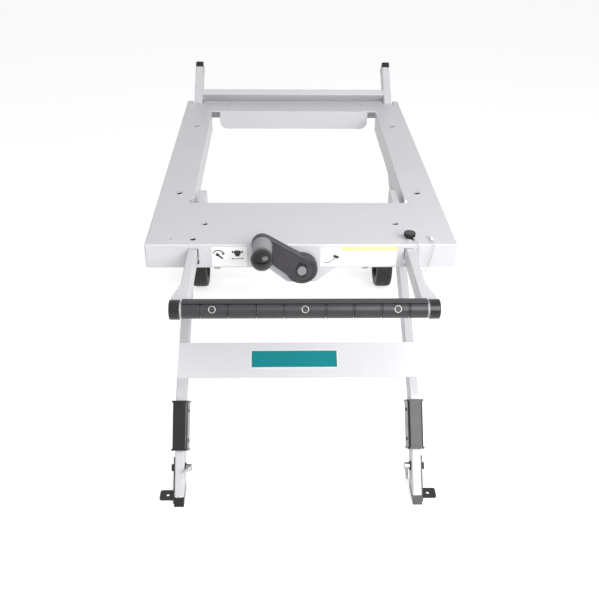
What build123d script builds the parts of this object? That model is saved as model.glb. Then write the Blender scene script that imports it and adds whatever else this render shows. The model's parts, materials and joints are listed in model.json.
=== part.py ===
from build123d import *
import math
import os

# Table saw stand: a pressed steel table on two pairs of crossing legs, raised by a crank screw.
# Millimetres. X points right, Y points back, Z points up, and the floor is at Z = 0.
# While it is built, Y = 0 is the front edge of the table. Each piece is moved as it is written,
# so that the middle of the whole stand's box lies above the origin.

# Clearances and one overrun for every cut
running_gap = 0.1
free_gap = 0.3
overrun = 5.0

# Table
table_height = 590.0
table_width = 560.0
table_length = 840.0
sheet = 2.0
skirt_depth = 46.0
fold_radius = 3.0
front_band_width = 180.0
rear_band_width = 90.0
side_band_width = 70.0
front_flange_from_corner = 38.0
rear_flange_from_corner = 20.0
flange_corner = 18.0
edge_round = 1.2
relief_width = 6.0
relief_length = 20.0
side_flange_short = 8.0
tab_depth = 30.0
tab_bottom = 52.0
tab_top = 124.0
tab_corner = 14.0
large_hole = 12.0
large_hole_from_side = 40.0
large_hole_from_front = 227.0
large_hole_from_back = 206.0
small_hole = 10.0
small_hole_from_side = 102.0
small_hole_from_front = 84.0
small_hole_from_back = 42.0
pin_hole = 11.0
fixing_hole = 5.0
front_hole_inset = 22.0
fixing_hole_from_side = 45.0

# Legs: one bent rectangular tube each side, the front pair outside the rear pair
leg_width = 20.0
leg_depth = 40.0
leg_wall = 1.8
leg_corner = 3.0
leg_bend_radius = 36.0
front_leg_from_side = 29.0
leg_spacing = 24.5
main_angle = 29.65
lower_angle = 50.5
post_angle = 39.4
post_bend_inset = 8.6
post_bend_drop = 16.5
post_length = 115.0
lower_bend_height = 161.9
hinge_from_bend = 67.7
foot_height = 15.0
post_notch_side = 4.5
post_notch_length = 28.0

# Hinges of the legs
hinge_bolt = 10.0
pivot_bolt = 12.0
bush_wall = 3.0
spacer_rim = 4.0
bolt_head_share = 1.7
bolt_head_thick = 6.0
ear_thick = 3.0
ear_length = 50.0
ear_below = 18.0
pivot_bolt_overhang = 10.0

# Slide rail, cross rods and nut of the lifting screw
slide_before_flange = 19.0
fold_angle = 24.0
rod_diameter = 12.0
rod_end_reach = 2.0
rod_chamfer = 0.5
rod_washer_diameter = 18.0
rail_thick = 3.0
rail_beside_leg = 4.0
rail_below = 12.0
rail_end_margin = 12.0
screw_drop = 42.0
screw_diameter = 16.0
front_journal = 14.0
rear_journal = 12.0
journal_beyond = 8.0
screw_chamfer = 1.1
nut_width = 40.0
nut_length = 24.0
nut_above = 14.0
nut_below = 14.0
rod_in_nut = 12.0
rear_bearing_width = 50.0
rear_bearing_thick = 3.0
rear_bearing_below = 18.0
bush_length = 8.0
front_bush_diameter = 24.0
front_bush_flange = 34.0
front_bush_flange_thick = 3.0

# Crank
crank_disc = 57.0
crank_disc_thick = 4.0
crank_hub = 49.0
crank_tip = 38.0
crank_arm_thick = 12.0
crank_boss = 57.0
crank_boss_step = 1.5
crank_reach = 85.4
crank_angle = 35.0
crank_edge = 2.0
crank_cap = 17.0
crank_cap_thick = 4.0
knob_pin = 8.0
shank_front = 33.0
shank_back = 36.0
shank_length = 36.0
knob_ball = 39.0
ball_sink = 5.0
knob_pin_short = 12.0

# Handle
handle_tube_from_side = 84.6
handle_tube_width = 16.0
handle_tube_height = 30.0
handle_tube_wall = 1.6
handle_tube_corner = 2.5
handle_tube_drop = 9.0
handle_tube_past_band = 83.0
handle_flare_start = 122.0
handle_flare_end = 164.0
handle_flare = 10.5
handle_end_cut = 20.0
handle_slot_above = 1.0
handle_slot_outside = 1.0
handle_slot_inside = 3.5
guide_wall = 2.0
guide_from_front = 20.0
guide_from_back = 6.0
bar_forward = 195.0
bar_drop = 15.0
bar_diameter = 25.0
bar_wall = 2.0
bar_past_tube = 16.6
grip_diameter = 29.0
grip_from_bar_end = 18.0
grip_flat_height = 13.0
groove_width = 2.4
groove_depth = 1.2
groove_first = 33.0
groove_last_from_end = 29.0
groove_pairs = 4
grip_cap_diameter = 32.0
grip_cap_length = 16.6
grip_cap_edge = 2.0
grip_screw_from_end = 48.0
grip_screw_head = 7.0
grip_screw_shank = 3.5
grip_screw_length = 12.0
grip_screw_angle = 31.0
cross_recess_length = 4.2
cross_recess_width = 1.2

# Cross plate, crossbar, sleeves and caps of the front legs
cross_plate_above_bend = 39.0
cross_plate_depth = 84.0
cross_plate_corner = 3.0
name_plate_width = 193.0
name_plate_height = 45.0
name_plate_thick = 0.8
name_plate_shift = -7.0
name_plate_from_edge = 18.0
crossbar_width = 17.0
crossbar_wall = 1.5
crossbar_from_bend = 36.5
crossbar_corner = 2.5
top_cap_length = 16.5
sleeve_wall = 6.0
sleeve_deep_wall = 5.0
sleeve_from_bend = 5.0
sleeve_length = 105.0
sleeve_rim = 2.0
sleeve_rim_thick = 4.0
sleeve_corner = 5.0
sleeve_screw_head = 7.0
sleeve_screw_head_thick = 1.5
sleeve_screw_shank = 3.5
sleeve_screw_inset = 21.0

# Feet
foot_bolt_from_bend = 146.0
foot_bolt = 8.0
foot_travel = 12.0
foot_head = 14.0
foot_head_thick = 5.0
foot_washer = 21.0
foot_washer_thick = 2.0
strap_thick = 3.0
strap_width = 26.0
strap_above_bolt = 22.0
pad_length = 30.0
pad_ahead = 7.0
pad_width = 28.0
pad_thick = 3.0
pad_hole = 8.0
pad_hole_inset = 17.0
pad_corner = 5.0
plug_length = 28.0
lever_hub = 15.0
lever_hub_length = 11.0
lever_root_thick = 8.0
lever_tip_thick = 4.0
lever_root = 9.0
lever_tip = 6.0
lever_length = 38.0
left_lever_turn = 239.0

# Rear legs' own pieces and wheels
wheel_diameter = 160.0
tyre_width = 46.0
tyre_depth = 24.0
tyre_shoulder = 5.0
tread_groove = 3.0
tread_groove_depth = 2.5
tread_groove_spacing = 10.5
rim_depth = 5.0
rim_width = 42.0
web_thick = 6.0
hub_diameter = 40.0
hub_width = 48.0
axle_diameter = 16.0
wheel_bush_wall = 2.5
spacer_wall = 4.0
spacer_length = 15.2
axle_cap_diameter = 32.0
axle_cap_thick = 8.0
axle_cap_edge = 3.0
leg_past_axle = 18.0
leg_past_slide = 22.0
brace_side = 20.0
brace_before_bend = 100.0
end_cap_thick = 3.0
end_cap_plug = 9.0
end_cap_edge = 1.2

# Clamp screw, chain and labels
clamp_screw = 8.0
clamp_nut_side = 16.0
clamp_nut_thick = 6.0
clamp_knob = 21.0
clamp_knob_foot = 13.0
clamp_knob_height = 6.5
clamp_knob_taper = 3.5
knurl_count = 28
knurl_depth = 0.6
collar_diameter = 15.0
collar_thick = 2.6
collar_ear = 7.0
collar_ear_across = 6.1
collar_ear_ahead = 9.0
anchor_head = 9.0
anchor_head_thick = 2.5
anchor_plate = 1.2
anchor_ear = 6.0
anchor_ear_ahead = 9.5
chain_diameter = 2.4
arc_share = 0.45
label_thick = 0.3
label_height = 39.0
label_below_top = 5.0
left_label_from_tube = 34.4
left_label_length = 63.0
right_label_start = 34.0
right_label_from_tube = 23.9

# The chain's route, from the swivel collar over the table's edge and back up to its anchor
chain_points = [
    (201.5, 13.0, 591.6),
    (205.0, 5.4, 593.4),
    (207.4, -1.2, 596.0),
    (208.8, -7.6, 591.6),
    (209.5, -8.8, 580.0),
    (210.1, -7.8, 566.0),
    (211.0, -6.8, 554.4),
    (212.6, -6.2, 543.2),
    (217.3, -5.8, 538.8),
    (223.6, -5.6, 538.6),
    (228.5, -5.8, 542.6),
    (231.2, -6.4, 554.2),
    (233.4, -7.4, 567.0),
    (235.0, -8.4, 580.2),
    (236.0, -7.6, 591.4),
    (236.4, -1.2, 596.0),
    (235.9, 5.6, 593.8),
    (235.0, 12.5, 591.8),
]

# Places worked out from the sizes above
half_width = table_width / 2
slide_rest_y = front_band_width - slide_before_flange
front_leg_x = half_width - front_leg_from_side
handle_tube_x = half_width - handle_tube_from_side
fixing_hole_x = half_width - fixing_hole_from_side
handle_tube_back = front_band_width + handle_tube_past_band
bar_half_length = handle_tube_x + bar_past_tube
grip_half_length = bar_half_length - grip_from_bar_end
grip_screw_x = grip_half_length - grip_screw_from_end
sheet_under = table_height - sheet
skirt_low = table_height - skirt_depth
opening_half = half_width - side_band_width
opening_back = table_length - rear_band_width
rear_leg_x = front_leg_x - leg_spacing
half_leg = leg_width / 2
half_deep = leg_depth / 2


def toward(point, angle, distance):
    """A point of the Y-Z plane, moved up and back at an angle above the floor."""
    y, z = point
    turn = math.radians(angle)
    return (y + distance * math.cos(turn), z + distance * math.sin(turn))


post_bend = (table_length - post_bend_inset, table_height - post_bend_drop)
post_end = toward(post_bend, post_angle, post_length)
hinge = toward(post_bend, main_angle, -hinge_from_bend)
main_run = (post_bend[1] - lower_bend_height) / math.sin(math.radians(main_angle))
lower_bend = toward(post_bend, main_angle, -main_run)
lower_run = lower_bend_height / math.sin(math.radians(lower_angle))
foot_y = toward(lower_bend, lower_angle, -lower_run)[0]
floor_end = toward(lower_bend, lower_angle, -lower_run - leg_depth)
foot_front = foot_y - 2 * leg_depth
half_span = (hinge[0] - slide_rest_y) / (2 * math.cos(math.radians(main_angle)))
pivot = toward(hinge, main_angle, -half_span)
slide_rest = (slide_rest_y, hinge[1])
fold_left = math.radians(main_angle - fold_angle)
slide_folded_y = hinge[0] - 2 * half_span * math.cos(fold_left)
pivot_to_bend = main_run - hinge_from_bend - half_span
rear_bend = toward(pivot, -main_angle, pivot_to_bend)
wheel_radius = wheel_diameter / 2
wheel_x = rear_leg_x + half_leg + spacer_length + free_gap + hub_width / 2
rear_drop = (rear_bend[1] - wheel_radius) / math.sin(math.radians(lower_angle))
axle = toward(rear_bend, -lower_angle, rear_drop)
screw_z = table_height - screw_drop
handle_top = table_height - handle_tube_drop
handle_low = handle_top - handle_tube_height
bar_z = table_height - bar_drop
front_reach = bar_forward + grip_cap_diameter / 2
rear_reach = axle[0] + wheel_radius
middle_y = (rear_reach - front_reach) / 2
bar_y = -bar_forward


def block(x_low, x_high, y_low, y_high, z_low, z_high):
    """A box between two corners."""
    middle = Pos((x_low + x_high) / 2, (y_low + y_high) / 2, (z_low + z_high) / 2)
    return middle * Box(x_high - x_low, y_high - y_low, z_high - z_low)


def rod_x(x_low, x_high, y, z, diameter):
    """A round rod along X."""
    middle = Pos((x_low + x_high) / 2, y, z)
    return middle * Rot(0, 90, 0) * Cylinder(diameter / 2, x_high - x_low)


def rod_y(x, y_low, y_high, z, diameter):
    """A round rod along Y."""
    middle = Pos(x, (y_low + y_high) / 2, z)
    return middle * Rot(90, 0, 0) * Cylinder(diameter / 2, y_high - y_low)


def rod_z(x, y, z_low, z_high, diameter):
    """A round rod along Z."""
    middle = Pos(x, y, (z_low + z_high) / 2)
    return middle * Cylinder(diameter / 2, z_high - z_low)


def hex_x(x_low, x_high, y, z, across):
    """A hexagonal head or nut along X."""
    profile = Plane(origin=(x_low, y, z), z_dir=(1, 0, 0))
    return extrude(profile * RegularPolygon(across / 2, 6, major_radius=False), x_high - x_low)


def slope(point, angle):
    """A frame on the X = 0 plane whose Y runs up a leg and whose Z leaves its upper face."""
    turn = math.radians(angle)
    normal = (0, -math.sin(turn), math.cos(turn))
    return Plane(origin=(0, point[0], point[1]), x_dir=(1, 0, 0), z_dir=normal).location


def other_side(shape):
    """The same piece on the left of the stand."""
    return mirror(shape, about=Plane.YZ)


def both_sides(shapes):
    """Pieces and their mirror images as one group of separate solids."""
    return group(list(shapes) + [other_side(shape) for shape in shapes])


def group(shapes):
    """Separate solids that share one name."""
    return Compound([solid for shape in shapes for solid in shape.solids()])


def bent_tube(route, x, width, depth, wall, corner, bend_radius):
    """A rectangular tube whose middle line runs through the points of a route at one X."""
    path = FilletPolyline(*[(x, y, z) for y, z in route], radius=bend_radius)
    start = Plane(origin=path @ 0, x_dir=(1, 0, 0), z_dir=path % 0)
    skin = RectangleRounded(width, depth, corner)
    hollow = RectangleRounded(width - 2 * wall, depth - 2 * wall, corner - wall)
    return sweep(start * skin, path=path) - sweep(start * hollow, path=path)


lower_frame = slope(lower_bend, lower_angle)
main_frame = slope(lower_bend, main_angle)
post_frame = slope(post_bend, post_angle)
rear_lower_frame = slope(rear_bend, -lower_angle)
rear_main_frame = slope(pivot, -main_angle)
foot_bolt_place = toward(lower_bend, lower_angle, -foot_bolt_from_bend)


def skirt_tab(y_low):
    """The rounded tab that hangs from the front skirt round the screw's bearing."""
    ledge = tab_top / 2 + tab_corner
    outline = [
        (-ledge, skirt_low + tab_corner),
        (-ledge, skirt_low),
        (-tab_top / 2, skirt_low),
        (-tab_bottom / 2, skirt_low - tab_depth),
        (tab_bottom / 2, skirt_low - tab_depth),
        (tab_top / 2, skirt_low),
        (ledge, skirt_low),
        (ledge, skirt_low + tab_corner),
    ]
    radii = [0, 0, tab_corner, tab_corner, tab_corner, tab_corner, 0, 0]
    edge = FilletPolyline(*[(x, y_low, z) for x, z in outline], radius=radii, close=True)
    return extrude(make_face(edge), sheet, dir=(0, 1, 0))


def table_plate():
    """The pressed table: a top sheet with folded skirts outside and flanges in its opening."""
    outer = block(-half_width, half_width, 0, table_length, skirt_low, table_height)
    top_edges = outer.faces().sort_by(Axis.Z)[-1].edges()
    outer = fillet(outer.edges().filter_by(Axis.Z) + top_edges, fold_radius)
    inside = block(
        sheet - half_width,
        half_width - sheet,
        sheet,
        table_length - sheet,
        skirt_low - overrun,
        sheet_under,
    )
    plate = outer - fillet(inside.edges().filter_by(Axis.Z), fold_radius - sheet)
    plate += inner_flanges()
    plate -= block(
        -opening_half,
        opening_half,
        front_band_width,
        opening_back,
        skirt_low - overrun,
        table_height + overrun,
    )
    edges = plate.edges().filter_by(GeomType.LINE).filter_by_position(
        Axis.Z, table_height - running_gap, table_height + running_gap
    )
    rear_edge = edges.filter_by(Axis.X).filter_by_position(
        Axis.Y, opening_back - running_gap, opening_back + running_gap
    )
    side_edges = edges.filter_by(Axis.Y).filter_by_position(
        Axis.X, -opening_half - running_gap, opening_half + running_gap
    )
    plate = fillet(rear_edge + side_edges, edge_round)
    plate += skirt_tab(0)
    for cut in table_cuts():
        plate -= cut
    return plate


def inner_flanges():
    """The sheet folded down along the edges of the opening."""
    side_front = front_band_width + relief_length
    side_back = opening_back - side_flange_short
    side = block(
        opening_half,
        opening_half + sheet,
        side_front,
        side_back,
        skirt_low,
        table_height - sheet / 2,
    )
    low_ends = side.edges().filter_by(Axis.X).group_by(Axis.Z)[0]
    side = fillet(low_ends, fold_radius)
    rear_half = opening_half - rear_flange_from_corner
    rear = block(
        -rear_half,
        rear_half,
        opening_back,
        opening_back + sheet,
        skirt_low,
        table_height - sheet / 2,
    )
    rear = fillet(rear.edges().filter_by(Axis.Y).group_by(Axis.Z)[0], flange_corner)
    front_half = opening_half - front_flange_from_corner
    front = block(
        -front_half,
        front_half,
        front_band_width - sheet,
        front_band_width,
        skirt_low,
        table_height - sheet / 2,
    )
    front = fillet(front.edges().filter_by(Axis.Y).group_by(Axis.Z)[0], flange_corner)
    return side + other_side(side) + rear + front


def table_cuts():
    """Holes, corner reliefs, post notches and handle slots of the table."""
    cuts = []
    low = skirt_low - overrun
    high = table_height + overrun
    for sign in (-1, 1):
        inner = sign * opening_half
        edge = inner + sign * relief_width
        relief = (min(inner, edge), max(inner, edge))
        back = front_band_width + relief_length
        cuts.append(block(*relief, front_band_width, back, sheet_under - sheet, high))
        x = sign * (half_width - large_hole_from_side)
        for y in (large_hole_from_front, table_length - large_hole_from_back):
            cuts.append(rod_z(x, y, sheet_under - overrun, high, large_hole))
        x = sign * (half_width - small_hole_from_side)
        for y in (small_hole_from_front, table_length - small_hole_from_back):
            cuts.append(rod_z(x, y, sheet_under - overrun, high, small_hole))
        x = sign * handle_tube_x
        cuts.append(rod_z(x, front_hole_inset, sheet_under - overrun, high, pin_hole))
        x = sign * fixing_hole_x
        cuts.append(rod_z(x, front_hole_inset, sheet_under - overrun, high, fixing_hole))
        half_notch = half_leg + post_notch_side
        x = sign * front_leg_x
        notch_front = table_length - post_notch_length
        notch_back = table_length + overrun
        cuts.append(block(x - half_notch, x + half_notch, notch_front, notch_back, low, high))
        half_tube = handle_tube_width / 2
        outer = sign * (handle_tube_x + half_tube + handle_slot_outside)
        inner = sign * (handle_tube_x - half_tube - handle_slot_inside)
        slot = block(
            min(outer, inner),
            max(outer, inner),
            -overrun,
            sheet + overrun,
            handle_low - handle_slot_above,
            handle_top + handle_slot_above,
        )
        cuts.append(fillet(slot.edges().filter_by(Axis.Y), handle_slot_above))
    cuts.append(rod_y(0, -overrun, sheet + overrun, screw_z, front_bush_diameter))
    return cuts


def front_bearing():
    """The flanged bush in the skirt's tab that carries the front of the screw."""
    bush = rod_y(0, 0, bush_length, screw_z, front_bush_diameter)
    bush += rod_y(0, -front_bush_flange_thick, 0, screw_z, front_bush_flange)
    bore = front_journal + 2 * running_gap
    return bush - rod_y(0, -overrun, bush_length + overrun, screw_z, bore)


rear_bearing_y = front_band_width - sheet - rear_bearing_thick


def rear_bearing():
    """The plate on the table's inner flange that carries the back of the screw."""
    half = rear_bearing_width / 2
    plate = block(
        -half,
        half,
        rear_bearing_y,
        front_band_width - sheet,
        screw_z - rear_bearing_below,
        sheet_under,
    )
    plate = fillet(plate.edges().filter_by(Axis.Y).group_by(Axis.Z)[0], rear_journal)
    bore = rear_journal + 2 * running_gap
    return plate - rod_y(0, rear_bearing_y - overrun, front_band_width, screw_z, bore)


def flange_bore():
    """The way for the screw's rear journal through the inner front flange."""
    bore = rear_journal + 2 * sheet
    return rod_y(0, front_band_width - sheet - overrun, front_band_width + overrun, screw_z, bore)


crank_back = -front_bush_flange_thick - free_gap
arm_back = crank_back - crank_disc_thick
arm_front = arm_back - crank_arm_thick
crank_turn = math.radians(crank_angle)
knob_x = -crank_reach * math.cos(crank_turn)
knob_z = screw_z + crank_reach * math.sin(crank_turn)


def lead_screw():
    """The lifting screw with a journal at each end; its front end is keyed into the crank."""
    thread_front = bush_length + free_gap
    thread_back = rear_bearing_y - free_gap
    screw = rod_y(0, thread_front, thread_back, screw_z, screw_diameter)
    screw += rod_y(0, arm_back, thread_front, screw_z, front_journal)
    rear_end = rear_bearing_y + rear_bearing_thick + journal_beyond
    screw += rod_y(0, thread_back, rear_end, screw_z, rear_journal)
    return chamfer(screw.faces().sort_by(Axis.Y)[-1].edges(), screw_chamfer)


def crank_disc_piece():
    """The round plate behind the crank arm."""
    disc = rod_y(0, arm_back, crank_back, screw_z, crank_disc)
    disc = fillet(disc.faces().sort_by(Axis.Y)[0].edges(), crank_edge)
    return disc - rod_y(0, arm_back - overrun, overrun, screw_z, front_journal)


def crank_arm():
    """The crank's arm: two round ends with straight sides, and a wider boss at the screw."""
    face_plane = Plane(origin=(0, arm_back, screw_z), x_dir=(1, 0, 0), z_dir=(0, -1, 0))
    hub = Circle(crank_hub / 2)
    tip = Pos(knob_x, knob_z - screw_z) * Circle(crank_tip / 2)
    arm = extrude(face_plane * make_hull([*hub.edges(), *tip.edges()]), crank_arm_thick)
    arm = fillet(arm.faces().sort_by(Axis.Y)[0].edges(), crank_edge)
    boss = rod_y(0, arm_front + crank_boss_step, arm_back, screw_z, crank_boss)
    arm += fillet(boss.faces().sort_by(Axis.Y)[0].edges(), crank_edge)
    pin_bore = knob_pin
    return arm - rod_y(knob_x, arm_front - overrun, arm_back + overrun, knob_z, pin_bore)


def crank_cap_piece():
    """The grey cap over the bolt that holds the arm on the screw."""
    cap = rod_y(0, arm_front - crank_cap_thick, arm_front, screw_z, crank_cap)
    return fillet(cap.faces().sort_by(Axis.Y)[0].edges(), crank_cap_thick / 3)


shank_start = arm_front - free_gap
ball_y = shank_start - shank_length - knob_ball / 2 + ball_sink
pin_end = ball_y + knob_pin_short - knob_ball / 2 + knob_pin


def knob_pin_piece():
    """The shouldered pin that the crank's knob turns on."""
    return rod_y(knob_x, pin_end, arm_back, knob_z, knob_pin)


def knob_bore():
    bore = knob_pin + 2 * running_gap
    return rod_y(knob_x, pin_end - free_gap, arm_back, knob_z, bore)


def ball():
    return Pos(knob_x, ball_y, knob_z) * Sphere(knob_ball / 2)


def knob_shank():
    """The tapered grey shank between the arm and the ball."""
    taper = Cone(shank_back / 2, shank_front / 2, shank_length)
    shank = Pos(knob_x, shank_start - shank_length / 2, knob_z) * Rot(90, 0, 0) * taper
    return shank - ball() - knob_bore()


def knob_ball_piece():
    """The round black end of the crank's knob."""
    return ball() - knob_bore()


def nut_block():
    """The trunnion nut that the screw moves along Y."""
    nut = block(
        -nut_width / 2,
        nut_width / 2,
        slide_rest_y - nut_length / 2,
        slide_rest_y + nut_length / 2,
        slide_rest[1] - nut_below,
        screw_z + nut_above,
    )
    nut = chamfer(nut.edges().filter_by(Axis.Y), sheet)
    bore = screw_diameter + 2 * running_gap
    nut -= rod_y(0, 0, front_band_width, screw_z, bore)
    for sign in (-1, 1):
        inner = sign * (nut_width / 2 - rod_in_nut)
        outer = sign * (nut_width / 2 + overrun)
        ends = (min(inner, outer), max(inner, outer))
        nut -= rod_x(*ends, *slide_rest, rod_diameter)
    return nut


rod_end = rear_leg_x + half_leg + rod_end_reach + free_gap


def slide_rod():
    """The right cross rod from the nut out through the rail and the rear leg."""
    start = nut_width / 2 - rod_in_nut
    rod = rod_x(start, rod_end, *slide_rest, rod_diameter)
    return chamfer(rod.faces().sort_by(Axis.X)[-1].edges(), rod_chamfer)


def rod_washer():
    """The washer that keeps the rear leg off the slide rail."""
    low = rear_leg_x - half_leg - rail_beside_leg + free_gap
    high = rear_leg_x - half_leg - free_gap
    return rod_x(low, high, *slide_rest, rod_washer_diameter) - rod_x(
        low - overrun, high + overrun, *slide_rest, rod_diameter
    )


rail_outer = rear_leg_x - half_leg - rail_beside_leg
rail_inner = rail_outer - rail_thick


def slide_rail():
    """The slotted rail under the table that the right cross rod slides in."""
    front = slide_folded_y - rod_diameter / 2 - rail_end_margin
    back = slide_rest_y + rod_diameter / 2 + rail_end_margin / 2
    low = slide_rest[1] - rod_diameter / 2 - rail_below
    rail = block(rail_inner, rail_outer, front, back, low, sheet_under)
    rail = fillet(rail.edges().filter_by(Axis.X).group_by(Axis.Z)[0], rail_below / 2)
    slot_half = rod_diameter / 2 + free_gap
    slot = block(
        rail_inner - overrun,
        rail_outer + overrun,
        slide_folded_y,
        slide_rest_y,
        slide_rest[1] - slot_half,
        slide_rest[1] + slot_half,
    )
    for y in (slide_folded_y, slide_rest_y):
        slot += rod_x(rail_inner - overrun, rail_outer + overrun, y, slide_rest[1], 2 * slot_half)
    return rail - slot


def hinge_bracket():
    """The fork under the right rear corner that the front leg hinges in."""
    inner = front_leg_x - half_leg - free_gap
    outer = front_leg_x + half_leg + free_gap
    front = hinge[0] - ear_length / 2
    back = hinge[0] + ear_length / 2
    low = hinge[1] - ear_below
    fork = block(inner - ear_thick, outer + ear_thick, front, back, low, sheet_under)
    fork = fillet(fork.edges().filter_by(Axis.X).group_by(Axis.Z)[0], ear_below / 2)
    fork -= block(inner, outer, front - overrun, back + overrun, low - overrun, sheet_under - sheet)
    return fork - rod_x(inner - ear_length, outer + ear_length, *hinge, hinge_bolt)


def hinge_bolt_piece():
    """The right hinge bolt, with its head outside the fork and its nut inside."""
    inner = front_leg_x - half_leg - free_gap - ear_thick
    outer = front_leg_x + half_leg + free_gap + ear_thick
    across = hinge_bolt * bolt_head_share
    bolt = rod_x(inner, outer, *hinge, hinge_bolt)
    bolt += hex_x(outer, outer + bolt_head_thick, *hinge, across)
    return bolt + hex_x(inner - bolt_head_thick, inner, *hinge, across)


def leg_bush(x, place, pin):
    """A flanged bush through both walls of a leg, with a running fit on its pin."""
    outer = pin + 2 * bush_wall
    bush = rod_x(x - half_leg, x + half_leg, *place, outer)
    bore = pin + 2 * running_gap
    return bush - rod_x(x - leg_width, x + leg_width, *place, bore)


def bush_hole(x, place, pin):
    return rod_x(x - leg_width, x + leg_width, *place, pin + 2 * bush_wall)


def front_leg_tube():
    """The right front leg: foot, bend, long sloping run and rear post in one bent tube."""
    route = [floor_end, lower_bend, post_bend, post_end]
    tube = bent_tube(
        route, front_leg_x, leg_width, leg_depth, leg_wall, leg_corner, leg_bend_radius
    )
    low_side = front_leg_x - leg_width
    high_side = front_leg_x + leg_width
    tube -= block(low_side, high_side, foot_front, lower_bend[0], -leg_depth * 2, foot_height)
    tube -= bush_hole(front_leg_x, hinge, hinge_bolt)
    tube -= rod_x(low_side, high_side, *pivot, pivot_bolt)
    tube -= rod_x(low_side, high_side, *foot_bolt_place, foot_bolt)
    for along in sleeve_screw_places():
        x = front_leg_x - half_leg
        screw_y, screw_height = toward(lower_bend, lower_angle, -along)
        tube -= rod_x(x - overrun, x + overrun, screw_y, screw_height, sleeve_screw_shank)
    return tube


def sleeve_screw_places():
    first = sleeve_from_bend + sleeve_screw_inset
    last = sleeve_from_bend + sleeve_length - sleeve_screw_inset
    return (first, last)


def leg_sleeve():
    """The moulded sleeve over the lower run of the right front leg."""
    back = -sleeve_from_bend
    front = back - sleeve_length
    half_x = half_leg + sleeve_wall
    half_z = half_deep + sleeve_deep_wall
    body = block(-half_x, half_x, front, back, -half_z, half_z)
    body = fillet(body.edges().filter_by(Axis.Y), sleeve_corner)
    for start in (front, back - sleeve_rim_thick):
        rim = block(
            -half_x - sleeve_rim,
            half_x + sleeve_rim,
            start,
            start + sleeve_rim_thick,
            -half_z - sleeve_rim,
            half_z + sleeve_rim,
        )
        body += fillet(rim.edges().filter_by(Axis.Y), sleeve_corner)
    hole_x = half_leg + running_gap
    hole_z = half_deep + running_gap
    hole = block(-hole_x, hole_x, front - overrun, back + overrun, -hole_z, hole_z)
    body -= fillet(hole.edges().filter_by(Axis.Y), leg_corner)
    sleeve = lower_frame * Pos(front_leg_x, 0, 0) * body
    for along in sleeve_screw_places():
        place = toward(lower_bend, lower_angle, -along)
        x = front_leg_x - half_leg
        sleeve -= rod_x(x - sleeve_wall * 2, x, *place, sleeve_screw_shank)
    return sleeve


def sleeve_screw(along):
    """A small screw through the inner wall of a sleeve."""
    place = toward(lower_bend, lower_angle, -along)
    face = front_leg_x - half_leg - sleeve_wall
    screw = rod_x(face, front_leg_x - half_leg + leg_wall, *place, sleeve_screw_shank)
    head = rod_x(face - sleeve_screw_head_thick, face, *place, sleeve_screw_head)
    return screw + fillet(head.faces().sort_by(Axis.X)[0].edges(), sleeve_screw_head_thick / 2)


def top_cap():
    """The black cap plugged into the open end of the right post."""
    return tube_cap(post_frame, front_leg_x, post_length, 1, top_cap_length)


def cross_plate():
    """The wide plate across the upper faces of the two front legs."""
    half = front_leg_x + half_leg
    plate = block(
        -half,
        half,
        cross_plate_above_bend,
        cross_plate_above_bend + cross_plate_depth,
        half_deep,
        half_deep + sheet,
    )
    return main_frame * fillet(plate.edges().filter_by(Axis.Z), cross_plate_corner)


def name_plate():
    """The plain coloured plate in the middle of the cross plate."""
    high = cross_plate_above_bend + cross_plate_depth - name_plate_from_edge
    plate = block(
        name_plate_shift - name_plate_width / 2,
        name_plate_shift + name_plate_width / 2,
        high - name_plate_height,
        high,
        half_deep + sheet,
        half_deep + sheet + name_plate_thick,
    )
    return main_frame * fillet(plate.edges().filter_by(Axis.Z), cross_plate_corner)


def cross_tube(half_length, width, depth, wall, corner):
    """A rectangular tube along X about the origin."""
    outer = block(-half_length, half_length, -width / 2, width / 2, -depth / 2, depth / 2)
    outer = fillet(outer.edges().filter_by(Axis.X), corner)
    core_y = width / 2 - wall
    core_z = depth / 2 - wall
    reach = half_length + overrun
    return outer - block(-reach, reach, -core_y, core_y, -core_z, core_z)


def rear_crossbar():
    """The flat tube, as deep as the posts, that joins them behind the table."""
    half = front_leg_x - half_leg
    bar = cross_tube(half, crossbar_width, leg_depth, crossbar_wall, crossbar_corner)
    return post_frame * Pos(0, crossbar_from_bend, 0) * bar


def pivot_bolt_piece():
    """The right scissor bolt through the front leg and the rear leg."""
    low = rear_leg_x - half_leg - pivot_bolt_overhang
    high = front_leg_x + half_leg
    across = pivot_bolt * bolt_head_share
    bolt = rod_x(low, high, *pivot, pivot_bolt)
    return bolt + hex_x(high, high + bolt_head_thick, *pivot, across)


def pivot_washer():
    """The spacer between the front leg and the rear leg."""
    low = rear_leg_x + half_leg + free_gap
    high = front_leg_x - half_leg
    outer = pivot_bolt + 2 * bush_wall + spacer_rim
    ring = rod_x(low, high, *pivot, outer)
    return ring - rod_x(low - overrun, high + overrun, *pivot, pivot_bolt)


def pivot_nut():
    """The lock nut on the inner end of the scissor bolt."""
    high = rear_leg_x - half_leg - free_gap
    low = rear_leg_x - half_leg - pivot_bolt_overhang
    nut = hex_x(low, high, *pivot, pivot_bolt * bolt_head_share)
    return nut - rod_x(low - overrun, high + overrun, *pivot, pivot_bolt)


def rear_leg_tube():
    """The right rear leg, from the slide rod down through the scissor bolt to the axle."""
    front = toward(slide_rest, -main_angle, -leg_past_slide)
    back = toward(axle, -lower_angle, leg_past_axle)
    tube = bent_tube(
        [back, rear_bend, front],
        rear_leg_x,
        leg_width,
        leg_depth,
        leg_wall,
        leg_corner,
        leg_bend_radius,
    )
    tube -= bush_hole(rear_leg_x, slide_rest, rod_diameter)
    tube -= bush_hole(rear_leg_x, pivot, pivot_bolt)
    return tube - rod_x(rear_leg_x - leg_width, rear_leg_x + leg_width, *axle, axle_diameter)


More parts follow.
